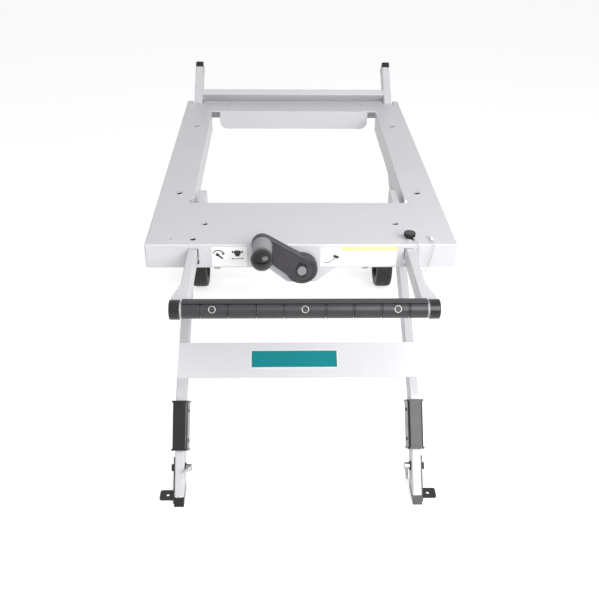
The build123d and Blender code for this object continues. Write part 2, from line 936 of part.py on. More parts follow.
def rear_leg_brace():
    """The square tube that joins the two rear legs ahead of the wheels."""
    half = rear_leg_x - half_leg
    bar = cross_tube(half, brace_side, brace_side, crossbar_wall, crossbar_corner)
    return rear_main_frame * Pos(0, pivot_to_bend - brace_before_bend, 0) * bar


def tube_cap(place_frame, x, along, outward, thick):
    """A black cap as wide as the leg tube, plugged into its open end."""
    head_low = min(along, along + outward * thick)
    head_high = max(along, along + outward * thick)
    head = block(-half_leg, half_leg, head_low, head_high, -half_deep, half_deep)
    head = fillet(head.edges().filter_by(Axis.Y), leg_corner)
    end_faces = head.faces().sort_by(Axis.Y)
    end_face = end_faces[-1] if outward > 0 else end_faces[0]
    head = fillet(end_face.edges(), end_cap_edge)
    core_x = half_leg - leg_wall - running_gap
    core_z = half_deep - leg_wall - running_gap
    core_low = min(along, along - outward * end_cap_plug)
    core_high = max(along, along - outward * end_cap_plug)
    core = block(-core_x, core_x, core_low, core_high, -core_z, core_z)
    core = fillet(core.edges().filter_by(Axis.Y), leg_corner - leg_wall)
    return place_frame * Pos(x, 0, 0) * (head + core)


def rear_leg_caps():
    """The caps in both ends of the right rear leg."""
    front = -half_span - leg_past_slide
    back = rear_drop + leg_past_axle
    upper = tube_cap(rear_main_frame, rear_leg_x, front, -1, end_cap_thick)
    lower = tube_cap(rear_lower_frame, rear_leg_x, back, 1, end_cap_thick)
    return [upper, lower]


hub_inner = wheel_x - hub_width / 2
hub_outer = wheel_x + hub_width / 2
axle_end = hub_outer + free_gap + axle_cap_thick / 2


def axle_rod():
    """The axle through both rear legs."""
    return rod_x(-axle_end, axle_end, *axle, axle_diameter)


def axle_spacer():
    """The tube that holds the right wheel off its leg."""
    low = rear_leg_x + half_leg
    high = hub_inner - free_gap
    outer = axle_diameter + 2 * spacer_wall
    ring = rod_x(low, high, *axle, outer)
    return ring - rod_x(low - overrun, high + overrun, *axle, axle_diameter)


def axle_cap():
    """The domed cap on the right end of the axle."""
    low = hub_outer + free_gap
    cap = rod_x(low, low + axle_cap_thick, *axle, axle_cap_diameter)
    cap = fillet(cap.faces().sort_by(Axis.X)[-1].edges(), axle_cap_edge)
    return cap - rod_x(low - overrun, axle_end, *axle, axle_diameter)


def wheel_place(profile):
    """Turns a profile drawn across the tread about the axle's line."""
    return Pos(wheel_x, *axle) * revolve(profile, axis=Axis.X)


def tyre():
    """The solid tyre with rounded shoulders and grooves round its tread."""
    half = tyre_width / 2
    inner = wheel_radius - tyre_depth
    section = Pos(0, (wheel_radius + inner) / 2) * Rectangle(tyre_width, tyre_depth)
    shoulders = section.vertices().group_by(Axis.Y)[-1]
    section = fillet(shoulders, tyre_shoulder)
    for place in (-1, 0, 1):
        groove = Rectangle(tread_groove, 2 * tread_groove_depth)
        section -= Pos(place * tread_groove_spacing, wheel_radius) * groove
    return wheel_place(section)


def wheel_hub():
    """The moulded wheel: rim, web and hub."""
    rim_top = wheel_radius - tyre_depth
    hub_radius = hub_diameter / 2
    bore = axle_diameter / 2 + wheel_bush_wall
    rim = Pos(0, rim_top - rim_depth / 2) * Rectangle(rim_width, rim_depth)
    web_height = rim_top - rim_depth / 2 - hub_radius + wheel_bush_wall
    web = Pos(0, rim_top - rim_depth / 2 - web_height / 2) * Rectangle(web_thick, web_height)
    boss = Pos(0, (hub_radius + bore) / 2) * Rectangle(hub_width, hub_radius - bore)
    return wheel_place(rim + web + boss)


def wheel_bush():
    """The bush pressed into the hub, running on the axle."""
    outer = axle_diameter + 2 * wheel_bush_wall
    bore = axle_diameter + 2 * running_gap
    ring = rod_x(hub_inner, hub_outer, *axle, outer)
    return ring - rod_x(hub_inner - overrun, hub_outer + overrun, *axle, bore)


def handle_outline(inset):
    """The right handle tube seen from above, drawn in by a wall where that is asked for."""
    inner = handle_tube_x - handle_tube_width / 2 + inset
    outer = handle_tube_x + handle_tube_width / 2 - inset
    back = handle_tube_back + (overrun if inset else 0)
    return [
        (inner, back),
        (outer, back),
        (outer, -handle_flare_start),
        (outer + handle_flare, -handle_flare_end),
        (outer + handle_flare, bar_y),
        (inner, bar_y),
    ]


def handle_prism(inset):
    outline = [(x, y, handle_low + inset) for x, y in handle_outline(inset)]
    face = make_face(Polyline(*outline, close=True))
    return extrude(face, handle_tube_height - 2 * inset, dir=(0, 0, 1))


def handle_tube():
    """The right handle tube: straight under the table, with an end flared to meet the bar."""
    outer = handle_prism(0)
    long_edges = outer.edges().filter_by_position(
        Axis.Y, bar_y - overrun, handle_tube_back - overrun
    ) - outer.edges().filter_by(Axis.Z) - outer.edges().filter_by(Axis.X)
    outer = fillet(long_edges, handle_tube_corner)
    tube = outer - handle_prism(handle_tube_wall) - handle_end_wedge()
    return tube - rod_x(-half_width, half_width, bar_y, bar_z, bar_diameter)


def handle_end_wedge():
    """What is cut off the low front corner of a handle tube, so that it ends behind the cap."""
    corner_z = bar_z - grip_cap_diameter / 2
    outline = [
        (0, bar_y - overrun, corner_z),
        (0, bar_y, corner_z),
        (0, bar_y + handle_end_cut, handle_low),
        (0, bar_y + handle_end_cut, handle_low - overrun),
        (0, bar_y - overrun, handle_low - overrun),
    ]
    return extrude(make_face(Polyline(*outline, close=True)), half_width, dir=(1, 0, 0))


def handle_bar():
    """The round cross tube at the front of the handle."""
    bar = rod_x(-bar_half_length, bar_half_length, bar_y, bar_z, bar_diameter)
    reach = bar_half_length + overrun
    bar -= rod_x(-reach, reach, bar_y, bar_z, bar_diameter - 2 * bar_wall)
    for x in grip_screw_xs():
        bar -= grip_screw_shaft(x, 0)
    return bar


def grip_screw_xs():
    return (-grip_screw_x, 0, grip_screw_x)


def grip_screw_shaft(x, extra):
    """The shank of a grip screw, square to the bar and facing up and forward."""
    turn = math.radians(grip_screw_angle)
    out = Vector(0, -math.cos(turn), math.sin(turn))
    top = grip_diameter / 2 - groove_depth + extra
    start = Vector(x, bar_y, bar_z) + out * (top - grip_screw_length - extra)
    frame = Plane(origin=start, x_dir=(1, 0, 0), z_dir=out)
    return extrude(frame * Circle(grip_screw_shank / 2), grip_screw_length)


def grip_screw(x):
    """A grip screw with a flat head that has a cross recess."""
    turn = math.radians(grip_screw_angle)
    out = Vector(0, -math.cos(turn), math.sin(turn))
    seat = Vector(x, bar_y, bar_z) + out * (grip_diameter / 2 - groove_depth)
    frame = Plane(origin=seat, x_dir=(1, 0, 0), z_dir=out)
    head = extrude(frame * Circle(grip_screw_head / 2), groove_depth)
    recess_top = Plane(origin=seat + out * groove_depth, x_dir=(1, 0, 0), z_dir=out)
    along = Rectangle(cross_recess_length, cross_recess_width)
    across = Rectangle(cross_recess_width, cross_recess_length)
    cross = along + across
    head -= extrude(recess_top * cross, -groove_depth / 2)
    return head + grip_screw_shaft(x, 0)


def handle_grip():
    """The moulded grip on the bar, with rings round it and a flat along its top."""
    grip = rod_x(-grip_half_length, grip_half_length, bar_y, bar_z, grip_diameter)
    groove_last = grip_half_length - groove_last_from_end
    for index in range(groove_pairs):
        x = groove_first + index * (groove_last - groove_first) / (groove_pairs - 1)
        ring = rod_x(x - groove_width / 2, x + groove_width / 2, bar_y, bar_z, grip_cap_diameter)
        core = grip_diameter - 2 * groove_depth
        ring -= rod_x(x - groove_width, x + groove_width, bar_y, bar_z, core)
        grip = grip - ring - other_side(ring)
    half = grip_half_length + overrun
    radius = grip_diameter / 2
    grip -= block(
        -half, half, bar_y - radius, bar_y + radius, bar_z + grip_flat_height, bar_z + radius
    )
    bore = bar_diameter + 2 * running_gap
    grip -= rod_x(-half, half, bar_y, bar_z, bore)
    grip = grip - tube_end_room() - other_side(tube_end_room())
    turn = math.radians(grip_screw_angle)
    out = Vector(0, -math.cos(turn), math.sin(turn))
    for x in grip_screw_xs():
        seat = Vector(x, bar_y, bar_z) + out * (grip_diameter / 2 - groove_depth)
        frame = Plane(origin=seat, x_dir=(1, 0, 0), z_dir=out)
        well = grip_screw_head / 2 + running_gap
        grip -= extrude(frame * Circle(well), overrun)
        grip -= grip_screw_shaft(x, 0)
    return grip


def tube_end_room():
    """The space that the flared end of the right handle tube takes from the grip and its cap."""
    return block(
        handle_tube_x - handle_tube_width / 2 - running_gap,
        handle_tube_x + handle_tube_width / 2 + handle_flare + overrun,
        bar_y - running_gap,
        0,
        handle_low - running_gap,
        handle_top + running_gap,
    )


def grip_cap():
    """The black cap over the right end of the bar, cut away where the handle tube meets it."""
    high = bar_half_length + grip_cap_edge
    low = high - grip_cap_length
    cap = rod_x(low, high, bar_y, bar_z, grip_cap_diameter)
    cap = fillet(cap.faces().sort_by(Axis.X)[-1].edges(), grip_cap_edge)
    bore = bar_diameter + 2 * running_gap
    cap -= rod_x(low - overrun, bar_half_length, bar_y, bar_z, bore)
    return cap - tube_end_room()


def handle_guide():
    """The channel under the table that the right handle tube slides in."""
    half = handle_tube_width / 2 + free_gap
    low = handle_low - free_gap
    front = guide_from_front
    back = front_band_width - guide_from_back
    left = handle_tube_x - half - guide_wall
    right = handle_tube_x + half + guide_wall
    guide = block(left, right, front, back, low - guide_wall, sheet_under)
    guide -= block(
        handle_tube_x - half,
        handle_tube_x + half,
        front - overrun,
        back + overrun,
        low,
        sheet_under + overrun,
    )
    return guide - rod_z(
        handle_tube_x, front_hole_inset, handle_top, sheet_under, clamp_nut_side + free_gap
    )


def weld_nut():
    """The square nut under the table that the clamp screw turns in."""
    half = clamp_nut_side / 2 - free_gap
    nut = block(
        handle_tube_x - half,
        handle_tube_x + half,
        front_hole_inset - half,
        front_hole_inset + half,
        sheet_under - clamp_nut_thick,
        sheet_under,
    )
    bore = clamp_screw + 2 * running_gap
    return nut - rod_z(handle_tube_x, front_hole_inset, handle_top, table_height, bore)


collar_low = table_height + free_gap
collar_high = collar_low + collar_thick
knob_low = collar_high + free_gap


def clamp_knob_piece():
    """The knurled knob and its screw, which presses on the handle tube."""
    x = handle_tube_x
    y = front_hole_inset
    screw = rod_z(x, y, handle_top + free_gap, knob_low, clamp_screw)
    foot_mid = knob_low + clamp_knob_taper / 2
    foot = Cone(clamp_knob_foot / 2, clamp_knob / 2, clamp_knob_taper)
    knob = Pos(x, y, foot_mid) * foot
    head_low = knob_low + clamp_knob_taper
    head = rod_z(x, y, head_low, head_low + clamp_knob_height, clamp_knob)
    head = fillet(head.faces().sort_by(Axis.Z)[-1].edges(), sheet / 2)
    for index in range(knurl_count):
        turn = math.radians(360 / knurl_count * index)
        knurl_x = x + clamp_knob / 2 * math.cos(turn)
        knurl_y = y + clamp_knob / 2 * math.sin(turn)
        head -= rod_z(knurl_x, knurl_y, head_low, head_low + overrun * 2, 2 * knurl_depth)
    return screw + knob + head


def chain_collar():
    """The swivel collar round the clamp screw, with the ear that the chain is fixed to."""
    x = handle_tube_x
    y = front_hole_inset
    collar = rod_z(x, y, collar_low, collar_high, collar_diameter)
    ear_x = x + collar_ear_across
    ear_y = y - collar_ear_ahead
    collar += rod_z(ear_x, ear_y, collar_low, collar_high, collar_ear)
    collar += block(x, ear_x, ear_y, y, collar_low, collar_high)
    bore = clamp_screw + 2 * free_gap
    return collar - rod_z(x, y, collar_low - overrun, collar_high + overrun, bore)


def chain_anchor():
    """The rivet and eye plate that hold the chain's other end."""
    x = fixing_hole_x
    y = front_hole_inset
    eye_y = y - anchor_ear_ahead
    plate = rod_z(x, y, table_height, table_height + collar_thick, anchor_head)
    plate += rod_z(x, eye_y, table_height, table_height + collar_thick, anchor_ear)
    bridge = anchor_ear / 2
    plate += block(x - bridge, x + bridge, eye_y, y, table_height, table_height + collar_thick)
    head_low = table_height + collar_thick
    head = rod_z(x, y, head_low, head_low + anchor_head_thick, anchor_head)
    head = fillet(head.faces().sort_by(Axis.Z)[-1].edges(), anchor_plate)
    shank = rod_z(x, y, sheet_under - anchor_plate, table_height, fixing_hole)
    return plate + head + shank


def chain():
    """The chain as one tube: straight runs joined by arcs as large as the runs allow."""
    points = [Vector(*point) for point in chain_points]
    radii = []
    for before, here, after in zip(points, points[1:], points[2:]):
        incoming = here - before
        outgoing = after - here
        shorter = min(incoming.length, outgoing.length)
        turn = math.radians(incoming.get_angle(outgoing))
        radii.append(arc_share * shorter / math.tan(turn / 2))
    path = FilletPolyline(*points, radius=radii)
    start = Plane(origin=path @ 0, z_dir=path % 0)
    tube = sweep(start * Circle(chain_diameter / 2), path=path)
    section = math.pi * (chain_diameter / 2) ** 2
    print("chain radii", [round(radius, 1) for radius in radii])
    print("chain length", round(path.length, 1), "volume", round(tube.volume, 1))
    print("section times length", round(section * path.length, 1))
    return tube


def front_label(start, end):
    """A blank label on the front skirt."""
    high = table_height - label_below_top
    return block(start, end, -label_thick, 0, high - label_height, high)


def foot_bracket():
    """The slotted strap on the outside of the right leg, bent out into a floor pad."""
    inner = front_leg_x + half_leg + free_gap
    outer = inner + strap_thick
    top = -foot_bolt_from_bend + strap_above_bolt
    strap = block(
        inner, outer, -lower_run - leg_depth, top, -strap_width / 2, strap_width / 2
    )
    strap = fillet(strap.edges().filter_by(Axis.X).group_by(Axis.Y)[-1], pad_corner)
    slot_half = foot_bolt / 2 + free_gap
    slot = block(
        inner - overrun,
        outer + overrun,
        -foot_bolt_from_bend,
        foot_travel - foot_bolt_from_bend,
        -slot_half,
        slot_half,
    )
    for along in (-foot_bolt_from_bend, foot_travel - foot_bolt_from_bend):
        slot += rod_x(inner - overrun, outer + overrun, along, 0, 2 * slot_half)
    bracket = lower_frame * (strap - slot)
    bracket -= block(0, outer + overrun, foot_front, lower_bend[0], -leg_depth * 3, 0)
    pad_front = foot_y - pad_ahead
    pad = block(
        inner, outer + pad_length, pad_front, pad_front + pad_width, 0, pad_thick
    )
    pad = fillet(pad.edges().filter_by(Axis.Z).group_by(Axis.X)[-1], pad_corner)
    hole_x = outer + pad_length - pad_hole_inset
    hole_y = pad_front + pad_width / 2
    pad -= rod_z(hole_x, hole_y, -overrun, pad_thick + overrun, pad_hole)
    return bracket + pad


def foot_shoe():
    """The shoe under the right leg, with a plug that slides inside the tube."""
    half_x = half_leg + free_gap
    reach = block(-half_x, half_x, -lower_run - leg_depth, 0, -half_deep, half_deep)
    reach = lower_frame * Pos(front_leg_x, 0, 0) * reach
    sole_top = foot_height - free_gap
    side = front_leg_x + leg_width
    floor_slab = block(0, side, foot_front, lower_bend[0], 0, sole_top)
    sole = reach & floor_slab
    core_x = half_leg - leg_wall - free_gap
    core_z = half_deep - leg_wall - free_gap
    core = block(-core_x, core_x, -lower_run, plug_length - lower_run, -core_z, core_z)
    core = fillet(core.edges().filter_by(Axis.Y), leg_corner - leg_wall)
    core = lower_frame * Pos(front_leg_x, 0, 0) * core
    core &= block(0, side, foot_front, lower_bend[0], sole_top, lower_bend[1])
    return sole + core


washer_face = front_leg_x - half_leg - foot_washer_thick


def foot_bolt_piece():
    """The right foot's bolt, with its head on the outer side over the strap."""
    head_low = front_leg_x + half_leg + strap_thick + 2 * free_gap
    low = washer_face - lever_hub_length - free_gap
    bolt = rod_x(low, head_low, *foot_bolt_place, foot_bolt)
    return bolt + hex_x(head_low, head_low + foot_head_thick, *foot_bolt_place, foot_head)


def foot_washer_piece():
    """The washer between the leg and the lever nut."""
    ring = rod_x(washer_face, front_leg_x - half_leg, *foot_bolt_place, foot_washer)
    return ring - rod_x(
        washer_face - overrun, front_leg_x, *foot_bolt_place, foot_bolt
    )


def lever_nut():
    """The nut with a hanging lever that tapers and leans towards the leg, to clamp the foot."""
    high = washer_face - free_gap
    low = high - lever_hub_length
    hub = rod_x(low, high, *foot_bolt_place, lever_hub)
    y, z = foot_bolt_place
    tip_z = z - lever_length
    seen_from_side = [
        (low, y - lever_root / 2, z),
        (low, y + lever_root / 2, z),
        (low, y + lever_tip / 2, tip_z),
        (low, y - lever_tip / 2, tip_z),
    ]
    seen_from_front = [
        (low, y - lever_root, z),
        (low + lever_root_thick, y - lever_root, z),
        (high, y - lever_root, tip_z),
        (high - lever_tip_thick, y - lever_root, tip_z),
    ]
    side_face = make_face(Polyline(*seen_from_side, close=True))
    front_face = make_face(Polyline(*seen_from_front, close=True))
    blade = extrude(side_face, lever_hub_length, dir=(1, 0, 0))
    blade &= extrude(front_face, 2 * lever_root, dir=(0, 1, 0))
    tip = blade.edges().filter_by(Axis.X).group_by(Axis.Z)[0]
    blade = fillet(tip, lever_tip / 3)
    bore = foot_bolt + 2 * running_gap
    return hub + blade - rod_x(low - overrun, high + overrun, *foot_bolt_place, bore)


def left_lever_nut():
    """The lever nut of the left foot, turned so that its lever points forward and up."""
    bolt_line = Axis((0, *foot_bolt_place), (1, 0, 0))
    return other_side(lever_nut().rotate(bolt_line, left_lever_turn))


def write(name, shape):
    """Moves a piece so that the stand's middle is above the origin, and writes it."""
    placed = Pos(0, -middle_y, 0) * shape
    export_step(placed, f"parts/{name}.step")


def write_pair(name, shape):
    """Writes a right-hand piece and its mirror image."""
    write(f"{name}_right", shape)
    write(f"{name}_left", other_side(shape))


def main():
    os.makedirs("parts", exist_ok=True)
    print("hinge", hinge, "pivot", pivot, "slide", slide_rest)
    print("slide folded", slide_folded_y, "axle", axle, "middle", middle_y)
    print("foot bolt", foot_bolt_place, "foot", foot_y, "knob", (knob_x, knob_z))

    write("table_plate", table_plate() - flange_bore())
    write("hinge_brackets", both_sides([hinge_bracket()]))
    write("hinge_bolts", both_sides([hinge_bolt_piece()]))
    write("slide_rails", both_sides([slide_rail()]))
    write("handle_guides", both_sides([handle_guide()]))
    write("screw_bearing_front", front_bearing())
    write("screw_bearing_rear", rear_bearing())
    write("weld_nut", weld_nut())
    write("chain_collar", chain_collar())
    write("chain_anchor", chain_anchor())
    write("chain", chain())
    left_start = left_label_from_tube - handle_tube_x
    left_label = front_label(left_start, left_start + left_label_length)
    right_label = front_label(right_label_start, handle_tube_x - right_label_from_tube)
    write("front_labels", group([left_label, right_label]))

    write("lead_screw", lead_screw())
    write("crank_disc", crank_disc_piece())
    write("crank_arm", crank_arm())
    write("crank_cap", crank_cap_piece())
    write("knob_pin", knob_pin_piece())
    write("knob_shank", knob_shank())
    write("knob_ball", knob_ball_piece())
    write("clamp_knob", clamp_knob_piece())

    write("nut_block", nut_block())
    write("slide_rods", both_sides([slide_rod()]))
    write("rod_washers", both_sides([rod_washer()]))

    write_pair("handle_tube", handle_tube())
    write("handle_bar", handle_bar())
    write("handle_grip", handle_grip())
    write("grip_caps", both_sides([grip_cap()]))
    write("grip_screws", group([grip_screw(x) for x in grip_screw_xs()]))

    write_pair("front_leg_tube", front_leg_tube())
    write("rear_crossbar", rear_crossbar())
    write("cross_plate", cross_plate())
    write("name_plate", name_plate())
    write("top_caps", both_sides([top_cap()]))
    write("leg_sleeves", both_sides([leg_sleeve()]))
    screws = [sleeve_screw(along) for along in sleeve_screw_places()]
    write("sleeve_screws", both_sides(screws))
    write("hinge_bushes", both_sides([leg_bush(front_leg_x, hinge, hinge_bolt)]))
    pivot_set = [pivot_bolt_piece(), pivot_washer(), pivot_nut()]
    write("pivot_bolts", both_sides(pivot_set))
    write("foot_bolts", both_sides([foot_bolt_piece(), foot_washer_piece()]))

    write_pair("foot_bracket", foot_bracket())
    write_pair("foot_shoe", foot_shoe())
    write("lever_nut_right", lever_nut())
    write("lever_nut_left", left_lever_nut())

    write_pair("rear_leg_tube", rear_leg_tube())
    write("rear_leg_brace", rear_leg_brace())
    write("rear_leg_caps", both_sides(rear_leg_caps()))
    slide_bush = leg_bush(rear_leg_x, slide_rest, rod_diameter)
    pivot_bush = leg_bush(rear_leg_x, pivot, pivot_bolt)
    write("rear_leg_bushes", both_sides([slide_bush, pivot_bush]))
    write("axle", axle_rod())
    write("axle_spacers", both_sides([axle_spacer()]))
    write("axle_caps", both_sides([axle_cap()]))
    write_pair("tyre", tyre())
    write_pair("wheel_hub", wheel_hub())
    write_pair("wheel_bush", wheel_bush())


main()
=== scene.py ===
# %% [markdown]
# A table saw stand, dressed piece by piece.
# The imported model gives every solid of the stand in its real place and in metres. This file
# gives each of them a finish, and models again by hand what a solid cannot show: the beads of
# the chain, the tread of the tyres, the thread of the lifting screw, the weld seams and the
# marks on the labels.

import json
import math

import bmesh
import bpy
from mathutils import Matrix, Vector


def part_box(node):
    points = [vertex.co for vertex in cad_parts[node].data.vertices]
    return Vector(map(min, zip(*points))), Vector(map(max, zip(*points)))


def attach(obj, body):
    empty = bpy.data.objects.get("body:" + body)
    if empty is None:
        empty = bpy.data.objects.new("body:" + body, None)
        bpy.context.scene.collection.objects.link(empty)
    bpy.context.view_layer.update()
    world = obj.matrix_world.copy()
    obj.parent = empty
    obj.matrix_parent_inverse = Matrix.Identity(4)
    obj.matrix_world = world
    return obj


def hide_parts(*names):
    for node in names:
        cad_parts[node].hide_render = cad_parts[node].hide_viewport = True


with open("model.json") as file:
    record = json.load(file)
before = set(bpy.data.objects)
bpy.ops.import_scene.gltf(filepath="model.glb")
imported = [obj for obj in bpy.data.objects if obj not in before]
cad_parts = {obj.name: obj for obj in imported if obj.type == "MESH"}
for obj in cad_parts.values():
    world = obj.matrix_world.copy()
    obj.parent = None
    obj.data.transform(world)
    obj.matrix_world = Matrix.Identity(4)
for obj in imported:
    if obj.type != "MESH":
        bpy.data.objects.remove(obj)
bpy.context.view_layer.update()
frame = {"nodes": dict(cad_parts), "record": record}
MM = 0.001

# %% [markdown]
# The camera stands in front of the stand, a little left of its middle, at about twice the
# height of the table, and looks down at 31 degrees. Its lens is close to a normal one, so the
# far end of the table looks clearly narrower than the near end.

# %% Camera
CAMERA_PLACE = Vector((-0.0435, -1.6645, 1.2476))
CAMERA_DOWN = math.radians(31.04)
CAMERA_RIGHT = math.radians(1.82)
CAMERA_ROLL = math.radians(0.77)
CAMERA_LENS = 48.5

camera_data = bpy.data.cameras.new("camera")
camera_data.lens = CAMERA_LENS
camera = bpy.data.objects.new("camera", camera_data)
to_the_right = Matrix.Rotation(-CAMERA_RIGHT, 4, "Z")
upright = to_the_right @ Matrix.Rotation(math.pi / 2 - CAMERA_DOWN, 4, "X")
roll = Matrix.Rotation(CAMERA_ROLL, 4, "Z")
camera.matrix_world = Matrix.Translation(CAMERA_PLACE) @ upright @ roll
bpy.context.scene.collection.objects.link(camera)
bpy.context.scene.camera = camera
bpy.context.scene.view_settings.view_transform = "Standard"

# %% [markdown]
# A finish is a small graph of shader nodes. Written with sockets that can be added and
# multiplied like numbers, its maths reads as plain sums. Every other node comes from one
# method, which sets the node's own settings first and then its sockets.

# %% Sockets that do sums, and the graph they belong to
class Signal:
    """One output of a shader node. Sums of signals become Math nodes."""

    def __init__(self, graph, socket):
        self.graph = graph
        self.socket = socket

    def sum_with(self, operation, first, second):
        return self.graph.node("ShaderNodeMath", {"operation": operation}, {0: first, 1: second})

    def __add__(self, other):
        return self.sum_with("ADD", self, other)

    def __sub__(self, other):
        return self.sum_with("SUBTRACT", self, other)

    def __rsub__(self, other):
        return self.sum_with("SUBTRACT", other, self)

    def __mul__(self, other):
        return self.sum_with("MULTIPLY", self, other)

    def __gt__(self, other):
        return self.sum_with("GREATER_THAN", self, other)

    def __lt__(self, other):
        return self.sum_with("LESS_THAN", self, other)

    def __abs__(self):
        return self.sum_with("ABSOLUTE", self, 0)

    def __or__(self, other):
        return self.sum_with("MAXIMUM", self, other)

    __radd__ = __add__
    __rmul__ = __mul__


class Graph:
    """A tree of shader nodes that is written in words."""

    def __init__(self, tree):
        self.tree = tree

    def node(self, kind, settings, sockets, output=0):
        """Adds a node: its settings first, then the values or links of its sockets."""
        made = self.tree.nodes.new(kind)
        for name, value in settings.items():
            setattr(made, name, value)
        for name, value in sockets.items():
            self.plug(made.inputs[name], value)
        return Signal(self, made.outputs[output])

    def plug(self, socket, value):
        if isinstance(value, Signal):
            self.tree.links.new(value.socket, socket)
        else:
            socket.default_value = value


class Finish(Graph):
    """A material and the nodes of its surface."""

    def __init__(self, name):
        self.material = bpy.data.materials.new(name)
        self.material.use_nodes = True
        super().__init__(self.material.node_tree)
        self.shader = self.tree.nodes["Principled BSDF"]
        self.place = self.node("ShaderNodeTexCoord", {}, {}, "Object")

    def surface(self, **sockets):
        """Sets sockets of the surface shader, with spaces written as underscores."""
        for name, value in sockets.items():
            self.plug(self.shader.inputs[name.replace("_", " ")], value)
        return self.material

    def noise(self, size, detail=2.0, stretch=(1, 1, 1)):
        """Soft noise whose patches are about as large as size, in metres."""
        spot = self.place
        if stretch != (1, 1, 1):
            spot = self.node("ShaderNodeMapping", {}, {"Vector": spot, "Scale": stretch})
        sockets = {"Vector": spot, "Scale": 1 / size, "Detail": detail}
        return self.node("ShaderNodeTexNoise", {}, sockets, "Fac")

    def steps(self, signal, low, high):
        """Stretches a signal so that it runs from 0 at low to 1 at high."""
        return self.node("ShaderNodeMapRange", {}, {0: signal, 1: low, 2: high})

    def blend(self, mask, first, second):
        """Colour first where the mask is 0 and colour second where it is 1."""
        colours = {0: mask, 6: first, 7: second}
        return self.node("ShaderNodeMix", {"data_type": "RGBA"}, colours, 2)

    def bump(self, height, depth, strength):
        """Bends the surface by a height signal, depth metres deep."""
        sockets = {"Height": height, "Distance": depth, "Strength": strength}
        return self.node("ShaderNodeBump", {}, sockets, "Normal")


def shade(colour, factor):
    """A colour made lighter or darker, as a socket wants it."""
    return tuple(min(1.0, part * factor) for part in colour) + (1.0,)


finishes = {}

# %% [markdown]
# The table and the tubes carry baked enamel. Up close it has a faint orange peel, patches that
# are a little duller from hands and dust, and small marks where it was knocked. The peel is a
# bump of a few hundredths of a millimetre, so the highlights break up and the outline stays.

# %% Enamel
CLOUD_SIZE = 110 * MM
PEEL_SIZE = 1.6 * MM
PEEL_DEPTH = 0.04 * MM
SCUFF_SIZE = 6 * MM
WORN_PATCH = 70 * MM
ALONG_TUBES = (1, 0.25, 1)
SCUFF_RANGE = (0.68, 0.74)
WORN_RANGE = (0.52, 0.66)
ENAMEL_COAT = 0.38


def enamel(slot, colour, roughness, dust):
    finish = Finish(slot)
    cloud = finish.noise(CLOUD_SIZE, 3.0)
    peel = finish.noise(PEEL_SIZE, 1.0)
    scuff = finish.steps(finish.noise(SCUFF_SIZE, 4.0, ALONG_TUBES), *SCUFF_RANGE)
    worn = scuff * finish.steps(finish.noise(WORN_PATCH, 2.0), *WORN_RANGE)
    clean = finish.blend(cloud, shade(colour, 1.03), shade(colour, 0.95))
    dusty = finish.blend(worn * dust, clean, shade(colour, 0.72))
    finishes[slot] = finish.surface(
        Base_Color=dusty,
        Roughness=cloud * 0.12 + worn * 0.15 + (roughness - 0.06),
        Metallic=0.0,
        Coat_Weight=ENAMEL_COAT,
        Coat_Roughness=0.12,
        Normal=finish.bump(peel, PEEL_DEPTH, 0.55),
    )


enamel("table_paint", (0.56, 0.555, 0.585), 0.44, 0.35)
enamel("leg_paint", (0.56, 0.56, 0.585), 0.4, 0.35)
# The sheet enamel is the table's grey made lighter: painted light on the cross plate, which faces
# the lamps.
enamel("sheet_paint", (0.74, 0.735, 0.765), 0.42, 0.3)

# %% [markdown]
# Bolts, brackets and rods are zinc plated. Zinc grows in large flat crystals that reflect at
# slightly different angles, which a Voronoi pattern in the roughness gives.

# %% Metals
SMUDGE_SIZE = 20 * MM
SCRATCH_SIZE = 1.2 * MM
SCRATCH_DEPTH = 0.02 * MM
ALONG_RODS = (1, 0.06, 1)


def plated(slot, colour, roughness, grain):
    finish = Finish(slot)
    pattern = {"Vector": finish.place, "Scale": 1 / grain}
    crystals = finish.node("ShaderNodeTexVoronoi", {}, pattern, "Color")
    level = finish.node("ShaderNodeSeparateColor", {}, {0: crystals}, 0)
    smudge = finish.noise(SMUDGE_SIZE, 4.0)
    scratch = finish.noise(SCRATCH_SIZE, 2.0, ALONG_RODS)
    finishes[slot] = finish.surface(
        Base_Color=finish.blend(smudge, shade(colour, 1.08), shade(colour, 0.82)),
        Roughness=level * 0.12 + smudge * 0.14 + (roughness - 0.1),
        Metallic=1.0,
        Normal=finish.bump(scratch, SCRATCH_DEPTH, 0.5),
    )


plated("zinc_steel", (0.6, 0.6, 0.585), 0.38, 4 * MM)
plated("dark_steel", (0.07, 0.07, 0.075), 0.5, 2 * MM)
plated("bright_steel", (0.82, 0.82, 0.83), 0.2, 3 * MM)
plated("bronze", (0.56, 0.4, 0.2), 0.42, 1.5 * MM)

# %% [markdown]
# Moulded parts have a fine spark-eroded grain and a gloss that varies where they are handled.
# The crank is coated with a wrinkle paint, whose grain is coarser and deeper.

# %% Plastics, rubber and wrinkle coat
HANDLED_PATCH = 30 * MM
HANDLED_RANGE = (0.45, 0.75)


def moulded(slot, colour, roughness, grain, depth, wear=0.3, gloss=0.5):
    finish = Finish(slot)
    pores = finish.noise(grain, 3.0)
    rubbed = finish.steps(finish.noise(HANDLED_PATCH, 3.0), *HANDLED_RANGE)
    finishes[slot] = finish.surface(
        Base_Color=finish.blend(rubbed * wear, shade(colour, 1.0), shade(colour, 1.45)),
        Roughness=roughness + pores * 0.1 - rubbed * 0.08,
        Metallic=0.0,
        Specular_IOR_Level=gloss,
        Normal=finish.bump(pores, depth, 0.7),
    )


